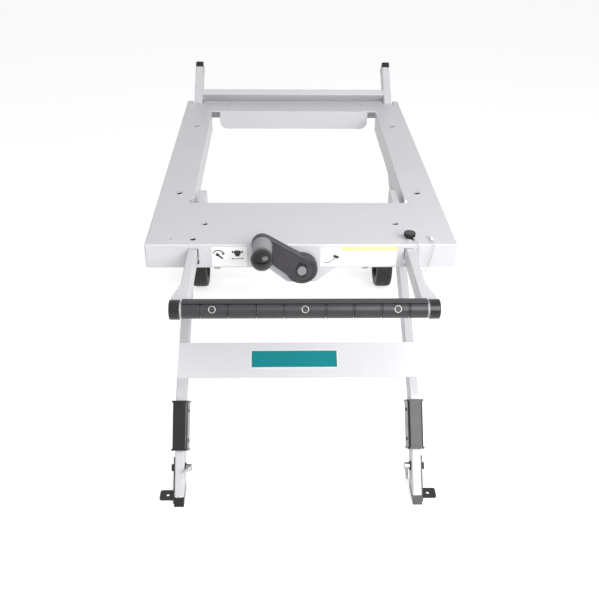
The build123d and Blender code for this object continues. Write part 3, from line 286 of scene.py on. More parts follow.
moulded("black_plastic", (0.004, 0.0039, 0.0043), 0.22, 0.6 * MM, 0.01 * MM)
moulded("crank_coat", (0.026, 0.023, 0.029), 0.36, 1.1 * MM, 0.08 * MM, wear=1.2)
moulded("grip_rubber", (0.022, 0.02, 0.024), 0.33, 0.7 * MM, 0.01 * MM)
moulded("shank_plastic", (0.23, 0.23, 0.24), 0.36, 0.6 * MM, 0.04 * MM, gloss=0.35)
moulded("wheel_plastic", (0.03, 0.03, 0.032), 0.45, 0.8 * MM, 0.06 * MM, gloss=0.35)
moulded("nylon", (0.72, 0.7, 0.65), 0.45, 0.8 * MM, 0.03 * MM, wear=0.1)
moulded("tyre_rubber", (0.02, 0.017, 0.016), 0.5, 0.5 * MM, 0.06 * MM, wear=0.8)

# %% [markdown]
# The two labels and the name plate are printed film. What is printed on them is a matter of
# colour alone, so it is a mask made from the place on the piece: a yellow band along the top
# of the right label, and a white rim round the teal of the name plate. Nothing else is printed:
# the labels' small marks are solid pieces, made further on.

# %% Printed film
WHITE_FILM = (0.82, 0.82, 0.82)
YELLOW_INK = (0.84, 0.83, 0.33, 1)
TEAL_INK = (0.0, 0.235, 0.262, 1)
RIM = 3 * MM
YELLOW_HEIGHT = 7.5 * MM
YELLOW_LENGTH = 100 * MM
FILM_GRAIN = 1.2 * MM
FILM_DEPTH = 0.02 * MM
SLOPE = math.radians(29.65)


def middle_and_half(node):
    """The middle of a node's box and half its size."""
    node_low, node_high = (Vector(corner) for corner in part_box(node))
    return (node_low + node_high) / 2, (node_high - node_low) / 2


def film(slot, ink, mask_of):
    finish = Finish(slot)
    parts = [finish.node("ShaderNodeSeparateXYZ", {}, {0: finish.place}, axis) for axis in range(3)]
    patch = finish.noise(HANDLED_PATCH, 3.0)
    base = finish.blend(patch, shade(WHITE_FILM, 1.03), shade(WHITE_FILM, 0.97))
    inked = finish.blend(mask_of(*parts), base, ink)
    finishes[slot] = finish.surface(
        Base_Color=inked,
        Roughness=patch * 0.1 + 0.26,
        Metallic=0.0,
        Normal=finish.bump(finish.noise(FILM_GRAIN, 2.0), FILM_DEPTH, 0.5),
    )


def yellow_band(x, y, z):
    label_middle, label_half = middle_and_half("front_labels")
    band_low = label_middle.z + label_half.z - YELLOW_HEIGHT
    band_start = label_middle.x + label_half.x - YELLOW_LENGTH
    return (x > band_start) * (z > band_low)


def teal_field(x, y, z):
    plate_middle, plate_half = middle_and_half("name_plate")
    slope_half = plate_half.y / math.cos(SLOPE)
    along_slope = (y - plate_middle.y) * math.cos(SLOPE) + (z - plate_middle.z) * math.sin(SLOPE)
    inside_x = abs(x - plate_middle.x) < plate_half.x - RIM
    return inside_x * (abs(along_slope) < slope_half - RIM)


film("label_film", YELLOW_INK, yellow_band)
film("name_plate", TEAL_INK, teal_field)

# %% [markdown]
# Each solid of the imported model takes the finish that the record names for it.

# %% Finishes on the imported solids
slot_of = {part["node"]: part["material_slot"] for part in frame["record"]["subparts"]}
for node, solid in frame["nodes"].items():
    solid.data.materials.clear()
    solid.data.materials.append(finishes[slot_of[node]])
print("finished solids", len(frame["nodes"]))

# %% [markdown]
# Every piece below ends with the same helper, which applies the piece's place to its mesh,
# smooths it, names it, gives it its finish and lets it ride on a body of the stand. The others
# add a primitive, pick some of its elements for an edit, copy a piece or join several.

# %% Helpers for modelled pieces
DOUBLED = 0.01 * MM
LEVEL = 0.1 * MM
FACING = 0.9


def begin(kind, **settings):
    bpy.ops.object.select_all(action="DESELECT")
    getattr(bpy.ops.mesh, f"primitive_{kind}_add")(**settings)
    return bpy.context.object


def edit(piece, pick=None, mode="FACE"):
    """Opens a piece in edit mode with only the elements that pick accepts selected."""
    bpy.ops.object.mode_set(mode="EDIT")
    bpy.ops.mesh.select_mode(type=mode)
    bpy.ops.mesh.select_all(action="DESELECT")
    mesh = bmesh.from_edit_mesh(piece.data)
    elements = {"FACE": mesh.faces, "EDGE": mesh.edges, "VERT": mesh.verts}[mode]
    for element in elements:
        element.select_set(pick is None or bool(pick(element)))
    mesh.select_flush_mode()
    bmesh.update_edit_mesh(piece.data)


def close_edit():
    bpy.ops.object.mode_set(mode="OBJECT")


def settle(piece, name, body, slot, angle=35):
    bpy.ops.object.select_all(action="DESELECT")
    piece.select_set(True)
    bpy.context.view_layer.objects.active = piece
    bpy.ops.object.transform_apply(location=True, rotation=True, scale=True)
    bpy.ops.object.shade_smooth_by_angle(angle=math.radians(angle))
    piece.name = name
    piece.data.materials.clear()
    piece.data.materials.append(finishes[slot])
    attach(piece, body)
    print(name, len(piece.data.polygons), "faces")
    return piece


def join(pieces):
    """Makes one mesh of several."""
    bpy.ops.object.select_all(action="DESELECT")
    for piece in pieces:
        piece.select_set(True)
    bpy.context.view_layer.objects.active = pieces[0]
    bpy.ops.object.join()
    return pieces[0]


def copy_of(piece):
    """A second piece with a mesh of its own."""
    copy = piece.copy()
    copy.data = piece.data.copy()
    bpy.context.scene.collection.objects.link(copy)
    return copy


def rightly_turned(piece):
    """Merges doubled points and turns all faces outwards."""
    edit(piece)
    bpy.ops.mesh.remove_doubles(threshold=DOUBLED)
    bpy.ops.mesh.normals_make_consistent(inside=False)
    close_edit()


# %% [markdown]
# The bead chain ties the clamp screw's collar to the table. Its route is one smooth line: over
# the rounded edge of the table, down in a loop beside the handle tube, and back up. The line is
# a spline through the air with the route's points as its controls. Small steel balls sit on it
# with a thin wire between them, each ball a copy of one.

# %% The chain's route
CHAIN_ROUTE = [
    (0.2015, -0.367877, 0.5916),
    (0.205, -0.375477, 0.5934),
    (0.2074, -0.382077, 0.596),
    (0.2088, -0.388477, 0.5916),
    (0.2095, -0.389677, 0.58),
    (0.2101, -0.388677, 0.566),
    (0.211, -0.387677, 0.5544),
    (0.2126, -0.387077, 0.5432),
    (0.2173, -0.386677, 0.5388),
    (0.2236, -0.386477, 0.5386),
    (0.2285, -0.386677, 0.5426),
    (0.2312, -0.387277, 0.5542),
    (0.2334, -0.388277, 0.567),
    (0.235, -0.389277, 0.5802),
    (0.236, -0.388477, 0.5914),
    (0.2364, -0.382077, 0.596),
    (0.2359, -0.375277, 0.5938),
    (0.235, -0.368377, 0.5918),
]
CHAIN_DIAMETER = 2.4 * MM
BEAD_PITCH = 3.1 * MM
WIRE_RADIUS = 0.4 * MM
POLE_SHARE = 0.42
POLE_FLATTENING = 0.93


def spline_points(name, route):
    """The points of a smooth spline with the route as its controls."""
    curve = bpy.data.curves.new(name, "CURVE")
    curve.dimensions = "3D"
    curve.resolution_u = 16
    spline = curve.splines.new("NURBS")
    spline.points.add(len(route) - 1)
    for point, place in zip(spline.points, route):
        point.co = (*place, 1)
    spline.order_u = 3
    spline.use_endpoint_u = True
    holder = bpy.data.objects.new(name, curve)
    bpy.context.scene.collection.objects.link(holder)
    mesh = bpy.data.meshes.new_from_object(holder)
    points = [vertex.co.copy() for vertex in mesh.vertices]
    bpy.data.objects.remove(holder)
    bpy.data.meshes.remove(mesh)
    return points


def along(points, distance):
    """The place and direction at a distance along a line of points."""
    for here, there in zip(points, points[1:]):
        step = (there - here).length
        if distance <= step:
            return here.lerp(there, distance / step), (there - here).normalized()
        distance -= step
    return points[-1], (points[-1] - points[-2]).normalized()


chain_line = spline_points("chain_line", CHAIN_ROUTE)
chain_length = sum((b - a).length for a, b in zip(chain_line, chain_line[1:]))
print("chain length", round(chain_length, 4))

# %% Beads and wire
def chain_bead():
    """One steel ball, a little flattened where the wire enters."""
    bead = begin("uv_sphere", segments=10, ring_count=7, radius=CHAIN_DIAMETER / 2)
    edit(bead, lambda face: abs(face.calc_center_median().z) > CHAIN_DIAMETER * POLE_SHARE)
    bpy.ops.transform.resize(value=(1, 1, POLE_FLATTENING))
    close_edit()
    return bead


def build_chain():
    bead = chain_bead()
    wire = begin("cylinder", vertices=6, radius=WIRE_RADIUS, depth=BEAD_PITCH)
    count = int(chain_length / BEAD_PITCH)
    pitch = chain_length / count
    chain = []
    for index in range(count):
        for part, offset in ((bead, 0.5), (wire, 0.0 if index else 0.5)):
            place, heading = along(chain_line, (index + offset) * pitch)
            copy = copy_of(part)
            copy.matrix_world = (
                Matrix.Translation(place) @ heading.to_track_quat("Z", "X").to_matrix().to_4x4()
            )
            chain.append(copy)
    bpy.data.objects.remove(bead)
    bpy.data.objects.remove(wire)
    print("beads", count)
    return settle(join(chain), "bead_chain", "table", "zinc_steel", 60)


bead_chain = build_chain()
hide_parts("chain")

# %% [markdown]
# The moulded grip has a flat band along its top that stands a little off the round, so a dark
# line runs below it. At each groove the rubber is raised into a thin lip on both sides. A torus
# gives the lip, and a bisect cuts it under the band.

# %% Band and lips of the grip
GRIP_RADIUS = 14.5 * MM
GROOVE_PLACES = (33.0 * MM, 77.0 * MM, 121.0 * MM, 165.0 * MM)
LIP_RADIUS = 1.0 * MM
LIP_FROM_GROOVE = 1.9 * MM
BAND_WIDTH = 12.4 * MM
BAND_THICK = 2.0 * MM
BAND_NECK = 1.3 * MM
BAND_OVERHANG = 1.7 * MM
BAND_EDGE = 0.7 * MM
LIP_SUNK_SHARE = 0.35
LIP_BELOW_FLAT = 0.2 * MM
FLAT_ABOVE_BAR = 13.0 * MM

grip_middle, grip_half = middle_and_half("handle_grip")
flat_height = grip_middle.z + grip_half.z
bar_line = Vector((0, grip_middle.y, flat_height - FLAT_ABOVE_BAR))


def grip_band():
    """The raised band along the flat of the grip."""
    middle = (0, bar_line.y, flat_height + BAND_NECK + BAND_THICK / 2)
    band = begin("cube", size=1, location=middle, scale=(2 * grip_half.x, BAND_WIDTH, BAND_THICK))
    bpy.ops.object.transform_apply(location=False, rotation=False, scale=True)
    edit(band, lambda face: face.normal.z < -FACING)
    bpy.ops.mesh.inset(thickness=BAND_OVERHANG)
    bpy.ops.mesh.extrude_region_move(TRANSFORM_OT_translate={"value": (0, 0, -BAND_NECK)})
    close_edit()
    edit(band, lambda edge: all(v.co.z > BAND_THICK * 0.4 for v in edge.verts), "EDGE")
    bpy.ops.mesh.bevel(offset=BAND_EDGE, segments=3, affect="EDGES")
    close_edit()
    return settle(band, "grip_band", "handle", "grip_rubber")


def grip_lips():
    """Thin raised lips on both sides of every groove, cut off level under the band."""
    lips = []
    for groove in GROOVE_PLACES:
        for side in (-1, 1):
            for offset in (-LIP_FROM_GROOVE, LIP_FROM_GROOVE):
                lip = begin(
                    "torus",
                    location=(side * groove + offset, bar_line.y, bar_line.z),
                    rotation=(0, math.pi / 2, 0),
                    major_radius=GRIP_RADIUS - LIP_RADIUS * LIP_SUNK_SHARE,
                    minor_radius=LIP_RADIUS,
                    major_segments=48,
                    minor_segments=8,
                )
                lips.append(lip)
    ring = join(lips)
    bpy.ops.object.transform_apply(location=True, rotation=True, scale=True)
    edit(ring)
    cut = (0, 0, flat_height - LIP_BELOW_FLAT)
    bpy.ops.mesh.bisect(plane_co=cut, plane_no=(0, 0, 1), clear_outer=True, use_fill=True)
    close_edit()
    return settle(ring, "grip_lips", "handle", "grip_rubber", 60)


grip_band()
grip_lips()

# %% [markdown]
# The grip's screws sit in bright cup washers. One washer is a short cylinder whose ends are
# inset and bridged into a ring, and a bevel rounds its upper edges. Three copies face up and
# forward.

# %% Cup washers of the grip
SCREW_TURN = math.radians(31)
WASHER_RADIUS = 5.8 * MM
WASHER_HEIGHT = 1.5 * MM
WASHER_RIM = 1.15 * MM
WASHER_EDGE = 0.45 * MM
WASHER_SUNK = 0.1 * MM
SCREW_HEAD_RADIUS = 3.5 * MM
screw_reach = middle_and_half("grip_screws")[1].x - SCREW_HEAD_RADIUS


def cup_washer():
    washer = begin("cylinder", vertices=40, radius=WASHER_RADIUS, depth=WASHER_HEIGHT)
    edit(washer, lambda face: abs(face.normal.z) > FACING)
    bpy.ops.mesh.inset(thickness=WASHER_RIM)
    bpy.ops.mesh.delete(type="FACE")
    close_edit()
    edit(washer, lambda edge: edge.is_boundary, "EDGE")
    bpy.ops.mesh.bridge_edge_loops()
    close_edit()
    edit(washer, lambda edge: all(v.co.z > WASHER_HEIGHT * 0.4 for v in edge.verts), "EDGE")
    bpy.ops.mesh.bevel(offset=WASHER_EDGE, segments=2, affect="EDGES")
    close_edit()
    return washer


def cup_washers():
    pattern = cup_washer()
    out = Vector((0, -math.cos(SCREW_TURN), math.sin(SCREW_TURN)))
    seat = Vector((0, bar_line.y, bar_line.z)) + out * (GRIP_RADIUS - WASHER_SUNK)
    washers = []
    for x in (-screw_reach, 0, screw_reach):
        washer = copy_of(pattern)
        washer.location = seat + Vector((x, 0, 0))
        washer.rotation_euler = out.to_track_quat("Z", "X").to_euler()
        washers.append(washer)
    bpy.data.objects.remove(pattern)
    return settle(join(washers), "grip_washers", "handle", "zinc_steel", 50)


cup_washers()

# %% [markdown]
# The crank's arm is cast with a thin raised bead just inside its edge. The bead follows two
# circles joined by straight sides, so a circle is drawn round the hub and the half of it that
# faces the knob is shrunk and moved out to the tip. As a curve it then gets a round section.

# %% Bead on the crank's arm
ARM_HUB = 24.5 * MM
ARM_TIP = 19.0 * MM
BEAD_INSET = 2.3 * MM
BEAD_RADIUS = 1.0 * MM
SEAT_RADIUS = 1.1 * MM
SEAT_STRETCH = 1.5
arm_middle, arm_half = middle_and_half("crank_arm")
cap_middle, cap_half = middle_and_half("crank_cap")
knob_middle = middle_and_half("knob_ball")[0]
arm_face = arm_middle.y - arm_half.y


def arm_bead():
    hub = Vector((cap_middle.x, arm_face, cap_middle.z))
    reach = Vector((knob_middle.x - hub.x, 0, knob_middle.z - hub.z))
    bead = begin(
        "circle",
        vertices=64,
        radius=ARM_HUB - BEAD_INSET,
        location=hub,
        rotation=(math.pi / 2, 0, 0),
    )
    bpy.ops.object.transform_apply(location=True, rotation=True, scale=True)
    edit(bead, lambda vert: (vert.co - hub).dot(reach) > -DOUBLED, "VERT")
    shrink = (ARM_TIP - BEAD_INSET) / (ARM_HUB - BEAD_INSET)
    bpy.ops.transform.resize(value=(shrink, 1, shrink), center_override=hub)
    bpy.ops.transform.translate(value=reach)
    close_edit()
    bpy.ops.object.convert(target="CURVE")
    bead = bpy.context.object
    bead.data.bevel_depth = BEAD_RADIUS
    bead.data.bevel_resolution = 2
    bpy.ops.object.convert(target="MESH")
    return settle(bpy.context.object, "crank_bead", "crank", "black_plastic", 60)


def cap_shadow_collar():
    """The black collar round the grey cap, whose black finish paints the shadow round the cap. Its
    front half is stretched upright.
    """
    seat = begin(
        "torus",
        location=(cap_middle.x, arm_face, cap_middle.z),
        rotation=(math.pi / 2, 0, 0),
        major_radius=cap_half.x + SEAT_RADIUS,
        minor_radius=SEAT_RADIUS,
        major_segments=48,
        minor_segments=10,
    )
    edit(seat, lambda vert: vert.co.z > 0, "VERT")
    bpy.ops.transform.resize(value=(1, 1, SEAT_STRETCH))
    close_edit()
    # The collar's black finish paints the shadow round the crank's cap.
    return settle(seat, "crank_cap_shadow_collar", "crank", "black_plastic", 60)


arm_bead()
cap_shadow_collar()

# %% [markdown]
# Eight holes in the table take the saw's bolts. A nut is pressed in under each, and its dark
# finish paints the shade inside the hole. A thin bright flange sits on top. Both parts are rings:
# the ends of a cylinder are inset, the middles deleted, and the two rims bridged.

# %% Pressed nuts in the table, whose dark finish paints the holes' shade
SHEET = 2.0 * MM
NUT_DEPTH = 9 * MM
FLANGE_WIDTH = 1.8 * MM
FLANGE_HEIGHT = 0.5 * MM
FLANGE_EDGE = 0.2 * MM
TABLE_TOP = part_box("table_plate")[1][2]
TABLE_FRONT = -380.877 * MM


def hole_group(half_across, rows, bore, radius):
    """Four nuts, at half_across each side and at their rows' distances from the front edge."""
    places = [(side * half_across, TABLE_FRONT + row) for side in (-1, 1) for row in rows]
    return [(x, y, bore, radius) for x, y in places]


NUT_PLACES = hole_group(240 * MM, (227 * MM, 634 * MM), 6 * MM, 9 * MM)
NUT_PLACES += hole_group(178 * MM, (84 * MM, 798 * MM), 5 * MM, 6.8 * MM)


def ring(radius, bore, depth, middle):
    piece = begin("cylinder", vertices=36, radius=radius, depth=depth, location=middle)
    edit(piece, lambda face: abs(face.normal.z) > FACING)
    bpy.ops.mesh.inset(thickness=radius - bore)
    bpy.ops.mesh.delete(type="FACE")
    close_edit()
    edit(piece, lambda edge: edge.is_boundary, "EDGE")
    bpy.ops.mesh.bridge_edge_loops()
    close_edit()
    return piece


def hole_shade_nuts():
    nuts, flanges = [], []
    for x, y, bore, radius in NUT_PLACES:
        nut_middle = (x, y, TABLE_TOP - SHEET - NUT_DEPTH / 2)
        nuts.append(ring(radius, bore, NUT_DEPTH, nut_middle))
        flange_middle = (x, y, TABLE_TOP + FLANGE_HEIGHT / 2)
        flange = ring(bore + FLANGE_WIDTH, bore, FLANGE_HEIGHT, flange_middle)
        edit(flange, lambda edge: all(v.co.z > LEVEL for v in edge.verts), "EDGE")
        bpy.ops.mesh.bevel(offset=FLANGE_EDGE, segments=2, affect="EDGES")
        close_edit()
        flanges.append(flange)
    # The nuts' dark finish paints the shade inside the holes.
    settle(join(nuts), "hole_shade_nuts", "table", "dark_steel", 40)
    return settle(join(flanges), "nut_flanges", "table", "zinc_steel", 40)


hole_shade_nuts()

# %% [markdown]
# The left label shows two plain pictures: a turning arrow over a lever, and a table block over a
# double arrow. The right one has a small line figure. They are thin solid marks, made of bars
# with rounded corners and of three-sided arrow heads, and they say nothing in words.

# %% Marks on the labels
MARK_THICK = 0.16 * MM
MARK_SCALE = 1.3
RIGHT_LABEL_WIDTH = 133 * MM
ARC_BARS = 9
ARC_OVERLAP = 1.25
label_low, label_high = (Vector(corner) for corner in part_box("front_labels"))
left_label = label_low.x
right_label = label_high.x - RIGHT_LABEL_WIDTH


def bar_mark(x, z, width, height, turn=0.0):
    """A bar with its middle at x and z in metres, its width and height in millimetres."""
    width, height = width * MARK_SCALE, height * MARK_SCALE
    mark = begin("cube", size=1, scale=(width * MM, MARK_THICK, height * MM))
    bpy.ops.object.transform_apply(location=False, rotation=False, scale=True)
    edit(mark, lambda edge: abs(edge.verts[0].co.y - edge.verts[1].co.y) > MARK_THICK / 2, "EDGE")
    bpy.ops.mesh.bevel(offset=min(width, height) * 0.25 * MM, segments=3, affect="EDGES")
    close_edit()
    return place_mark(mark, x, z, turn)


def head_mark(x, z, size, turn=0.0):
    """An arrow head that points along +X before it is turned."""
    mark = begin(
        "cylinder",
        vertices=3,
        radius=size * MARK_SCALE * MM,
        depth=MARK_THICK,
        rotation=(math.pi / 2, 0, 0),
    )
    bpy.ops.object.transform_apply(location=False, rotation=True, scale=False)
    mark.data.transform(Matrix.Rotation(-math.pi / 2, 4, "Y"))
    return place_mark(mark, x, z, turn)


def place_mark(mark, x, z, turn):
    mark.rotation_euler = (0, math.radians(turn), 0)
    mark.location = (x, label_low.y - MARK_THICK / 4, z)
    return mark


def arc_mark(x, z, radius, width, first, last):
    """A bent bar, made of short bars set along an arc."""
    marks = []
    spread = math.radians(last - first)
    length = spread * radius / (ARC_BARS - 1) * ARC_OVERLAP
    for index in range(ARC_BARS):
        angle = math.radians(first) + spread * index / (ARC_BARS - 1)
        spot_x = x + math.cos(angle) * radius * MM
        spot_z = z + math.sin(angle) * radius * MM
        marks.append(bar_mark(spot_x, spot_z, length, width, 90 - math.degrees(angle)))
    return marks


def picture(x, z, bars, heads):
    """Bars and arrow heads, each at its own x and z in millimetres from the picture's place."""
    marks = [bar_mark(x + right * MM, z + up * MM, *rest) for right, up, *rest in bars]
    marks += [head_mark(x + right * MM, z + up * MM, *rest) for right, up, *rest in heads]
    return marks


def lever_picture():
    x, z = left_label + 12 * MM, label_high.z - 14 * MM
    turning = arc_mark(x, z - 3 * MM, 10.5, 1.4, 35, 145)
    bars = [(2.5, -4.5, 11, 2.4, 40), (-1.8, -1.0, 4.2, 4.2, 40)]
    return turning + picture(x, z, bars, [(8.6, 0.8, 2.6, 55)])


def block_picture():
    x, z = left_label + 46 * MM, label_high.z - 13 * MM
    bars = [(0, 2.2, 9, 6.5), (0, -3.2, 6, 3.6), (0, -10, 15, 0.7)]
    heads = [(8, 3.4, 2.6), (-8, 3.4, 2.6, 180), (9, -10, 1.7), (-9, -10, 1.7, 180)]
    return picture(x, z, bars, heads)


def line_figure():
    bars = [(7, -31.5, 7, 1.0), (15.5, -27.5, 13, 1.0, -38), (23.5, -19.5, 8, 4.2, 24)]
    return picture(right_label, label_high.z, bars, [])


label_marks = join(lever_picture() + block_picture() + line_figure())
settle(label_marks, "label_marks", "table", "tyre_rubber", 30)

# %% [markdown]
# Where tubes meet, a weld runs along the corner. A weld is a row of small overlapping scales, so
# one flattened scale is copied along each seam with a little turn from scale to scale.

# %% Weld seams
SCALE_PITCH = 1.5 * MM
SCALE_RADIUS = 1.7 * MM
SCALE_SHAPE = (1.15, 0.9, 0.8)
SCALE_TURN = 0.9
WANDER = 0.12 * MM
WANDER_TURN = 2.3
SEAM_SUNK = 0.3 * MM
PLATE_HALF_DEPTH = 42.0 * MM
PLATE_SEAM_DROP = 0.6 * MM
PLATE_SEAM_START = 244 * MM
PLATE_SEAM_END = 258 * MM
CROSSBAR_TURN = math.radians(39.4)
CROSSBAR_HALF_ALONG = 8.2 * MM
CROSSBAR_HALF_UP = 19.7 * MM
BRACE_HALF = 9.7 * MM


def weld_scale():
    """One scale of a weld, with its upper half drawn long, narrow and low."""
    scale = begin("uv_sphere", segments=8, ring_count=5, radius=SCALE_RADIUS)
    edit(scale, lambda vert: vert.co.z > 0, "VERT")
    bpy.ops.transform.resize(value=SCALE_SHAPE)
    close_edit()
    return scale


def weld(name, body, seams):
    """A piece of weld for every pair of end points in seams."""
    scale = weld_scale()
    scales = []
    for start, end in seams:
        start, end = Vector(start), Vector(end)
        heading = (end - start).to_track_quat("X", "Z").to_matrix().to_4x4()
        count = max(2, int((end - start).length / SCALE_PITCH))
        for index in range(count):
            wander = math.sin(index * WANDER_TURN) * WANDER
            place = start.lerp(end, (index + 0.5) / count) + Vector((0, 0, wander))
            turn = Matrix.Rotation(index * SCALE_TURN, 4, "X")
            copy = copy_of(scale)
            copy.matrix_world = Matrix.Translation(place) @ heading @ turn
            scales.append(copy)
    bpy.data.objects.remove(scale)
    return settle(join(scales), name, body, "leg_paint", 50)


def tilted_seams(node, turn, half_along, half_up):
    """The seams round both ends of a cross tube that is turned by turn about its length."""
    middle, half = middle_and_half(node)
    along = Vector((0, math.cos(turn), math.sin(turn))) * half_along
    up = Vector((0, -math.sin(turn), math.cos(turn))) * half_up
    corners = [middle - along - up, middle - along + up, middle + along + up, middle + along - up]
    seams = []
    for side in (-1, 1):
        reach = Vector((side * (half.x - SEAM_SUNK), 0, 0))
        for corner, following in zip(corners, corners[1:] + corners[:1]):
            seams.append((corner + reach, following + reach))
    return seams


def plate_seams():
    """Short seams where the cross plate lies on the legs, along its lower and upper edges."""
    middle, half = middle_and_half("cross_plate")
    along = Vector((0, math.cos(SLOPE), math.sin(SLOPE)))
    up = Vector((0, -math.sin(SLOPE), math.cos(SLOPE)))
    seams = []
    for side in (-1, 1):
        for end in (-1, 1):
            place = middle + along * end * PLATE_HALF_DEPTH - up * PLATE_SEAM_DROP
            first = Vector((side * PLATE_SEAM_START, 0, 0))
            last = Vector((side * PLATE_SEAM_END, 0, 0))
            seams.append((place + first, place + last))
    return seams


crossbar_seams = tilted_seams(
    "rear_crossbar", CROSSBAR_TURN, CROSSBAR_HALF_ALONG, CROSSBAR_HALF_UP
)
weld("crossbar_welds", "front_legs", crossbar_seams)
weld("plate_welds", "front_legs", plate_seams())
weld("brace_welds", "rear_legs", tilted_seams("rear_leg_brace", -SLOPE, BRACE_HALF, BRACE_HALF))

# %% [markdown]
# A tyre is a smooth band with tread blocks standing on it. The band is a cylinder with its middle
# bridged open and its shoulders bevelled. One block is a cube with a raised inset top, and those
# of the outer rows lean down towards the shoulder. Rows are shifted by half a block.

# %% Tyres
TYRE_RADIUS = 80 * MM
TYRE_BORE = 56 * MM
TREAD_HEIGHT = 2.6 * MM
BAND_RADIUS = TYRE_RADIUS - TREAD_HEIGHT
SHOULDER = 7 * MM
SHOULDER_EDGE = 3.2 * MM
SIDE_STEP = 1.2 * MM
SIDE_SUNK_SHARE = 0.975
TREAD_ROW = 9.9 * MM
MIDDLE_GAP = 2.4 * MM
OUTER_GAP = 1.6 * MM
OUTER_LEAN = 1.1 * MM
BLOCK_COUNT = 54
BLOCK_LENGTH = 7.4 * MM
BLOCK_ROOT = 1.2 * MM
BLOCK_EDGE = 0.7 * MM
BLOCK_CROWN = 0.3 * MM
BLOCK_SUNK = 0.95 * MM
tyre_middle, tyre_half = middle_and_half("tyre_right")


def tread_block(width, lean):
    block = begin("cube", size=1, scale=(width, BLOCK_LENGTH, TREAD_HEIGHT + BLOCK_ROOT))
    bpy.ops.object.transform_apply(location=False, rotation=False, scale=True)
    edit(block, lambda vert: vert.co.x > 0 and vert.co.z > 0, "VERT")
    bpy.ops.transform.translate(value=(0, 0, -lean))
    close_edit()
    edit(block, lambda face: face.normal.z > 0.7)
    bpy.ops.mesh.inset(thickness=BLOCK_EDGE)
    bpy.ops.transform.translate(value=(0, 0, BLOCK_CROWN))
    close_edit()
    return block


def on_the_shoulder(edge):
    """True for the round edges at both ends of the band."""
    first, second = (vert.co for vert in edge.verts)
    rim = BAND_RADIUS * 0.999
    return min(first.yz.length, second.yz.length) > rim and abs(first.x - second.x) < LEVEL


def tyre_band():
    band = begin(
        "cylinder",
        vertices=108,
        radius=BAND_RADIUS,
        depth=2 * tyre_half.x,
        location=tyre_middle,
        rotation=(0, math.pi / 2, 0),
    )
    bpy.ops.object.transform_apply(location=False, rotation=True, scale=False)
    edit(band, lambda face: abs(face.normal.x) > FACING)
    bpy.ops.mesh.inset(thickness=SHOULDER)
    bpy.ops.mesh.inset(thickness=SIDE_STEP)
    bpy.ops.transform.resize(value=(SIDE_SUNK_SHARE, 1, 1))
    bpy.ops.mesh.inset(thickness=BAND_RADIUS - SHOULDER - SIDE_STEP - TYRE_BORE)
    bpy.ops.mesh.delete(type="FACE")
    close_edit()
    edit(band, lambda edge: edge.is_boundary, "EDGE")
    bpy.ops.mesh.bridge_edge_loops()
    close_edit()
    edit(band, on_the_shoulder, "EDGE")
    bpy.ops.mesh.bevel(offset=SHOULDER_EDGE, segments=3, affect="EDGES")
    close_edit()
    return band


def tyre(name, body, node):
    parts = [tyre_band()]
    middle_block = tread_block(TREAD_ROW - MIDDLE_GAP, 0)
    outer_block = tread_block(TREAD_ROW - OUTER_GAP, OUTER_LEAN)
    block_height = TYRE_RADIUS - TREAD_HEIGHT / 2 - BLOCK_SUNK
    for row in (-1.5, -0.5, 0.5, 1.5):
        block = outer_block if abs(row) > 1 else middle_block
        flip = Matrix.Rotation(math.pi if row < 0 else 0, 4, "Z")
        shift = 0.5 if row in (-1.5, 0.5) else 0
        for index in range(BLOCK_COUNT):
            around = Matrix.Rotation(2 * math.pi * (index + shift) / BLOCK_COUNT, 4, "X")
            radial = Matrix.Translation((row * TREAD_ROW, 0, block_height))
            copy = copy_of(block)
            copy.matrix_world = Matrix.Translation(tyre_middle) @ around @ radial @ flip
            parts.append(copy)
    bpy.data.objects.remove(middle_block)
    bpy.data.objects.remove(outer_block)
    made = join(parts)
    made.location.x += middle_and_half(node)[0].x - tyre_middle.x
    made = settle(made, name, body, "tyre_rubber", 30)
    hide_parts(node)
    return made


tyre("tread_right", "right_wheel", "tyre_right")
tyre("tread_left", "left_wheel", "tyre_left")

# %% [markdown]
# The lifting screw is a rod with a coarse thread between two smooth journals. A diamond drawn
# beside the rod and swept by a Screw modifier gives the thread, and its two ends are filled.

# %% Lifting screw
SCREW_RADIUS = 8 * MM
THREAD_PITCH = 4 * MM
THREAD_DEPTH = 1.5 * MM
JOURNAL_FRONT = 17 * MM
JOURNAL_REAR = 14 * MM
JOURNAL_EDGE = 0.8 * MM
CORE_OVERLAP = 0.2 * MM
CORE_SHORTER = 1 * MM
THREAD_HALF_SHARE = 0.46
THREAD_STEPS = 20
rod_middle, rod_half = middle_and_half("lead_screw")


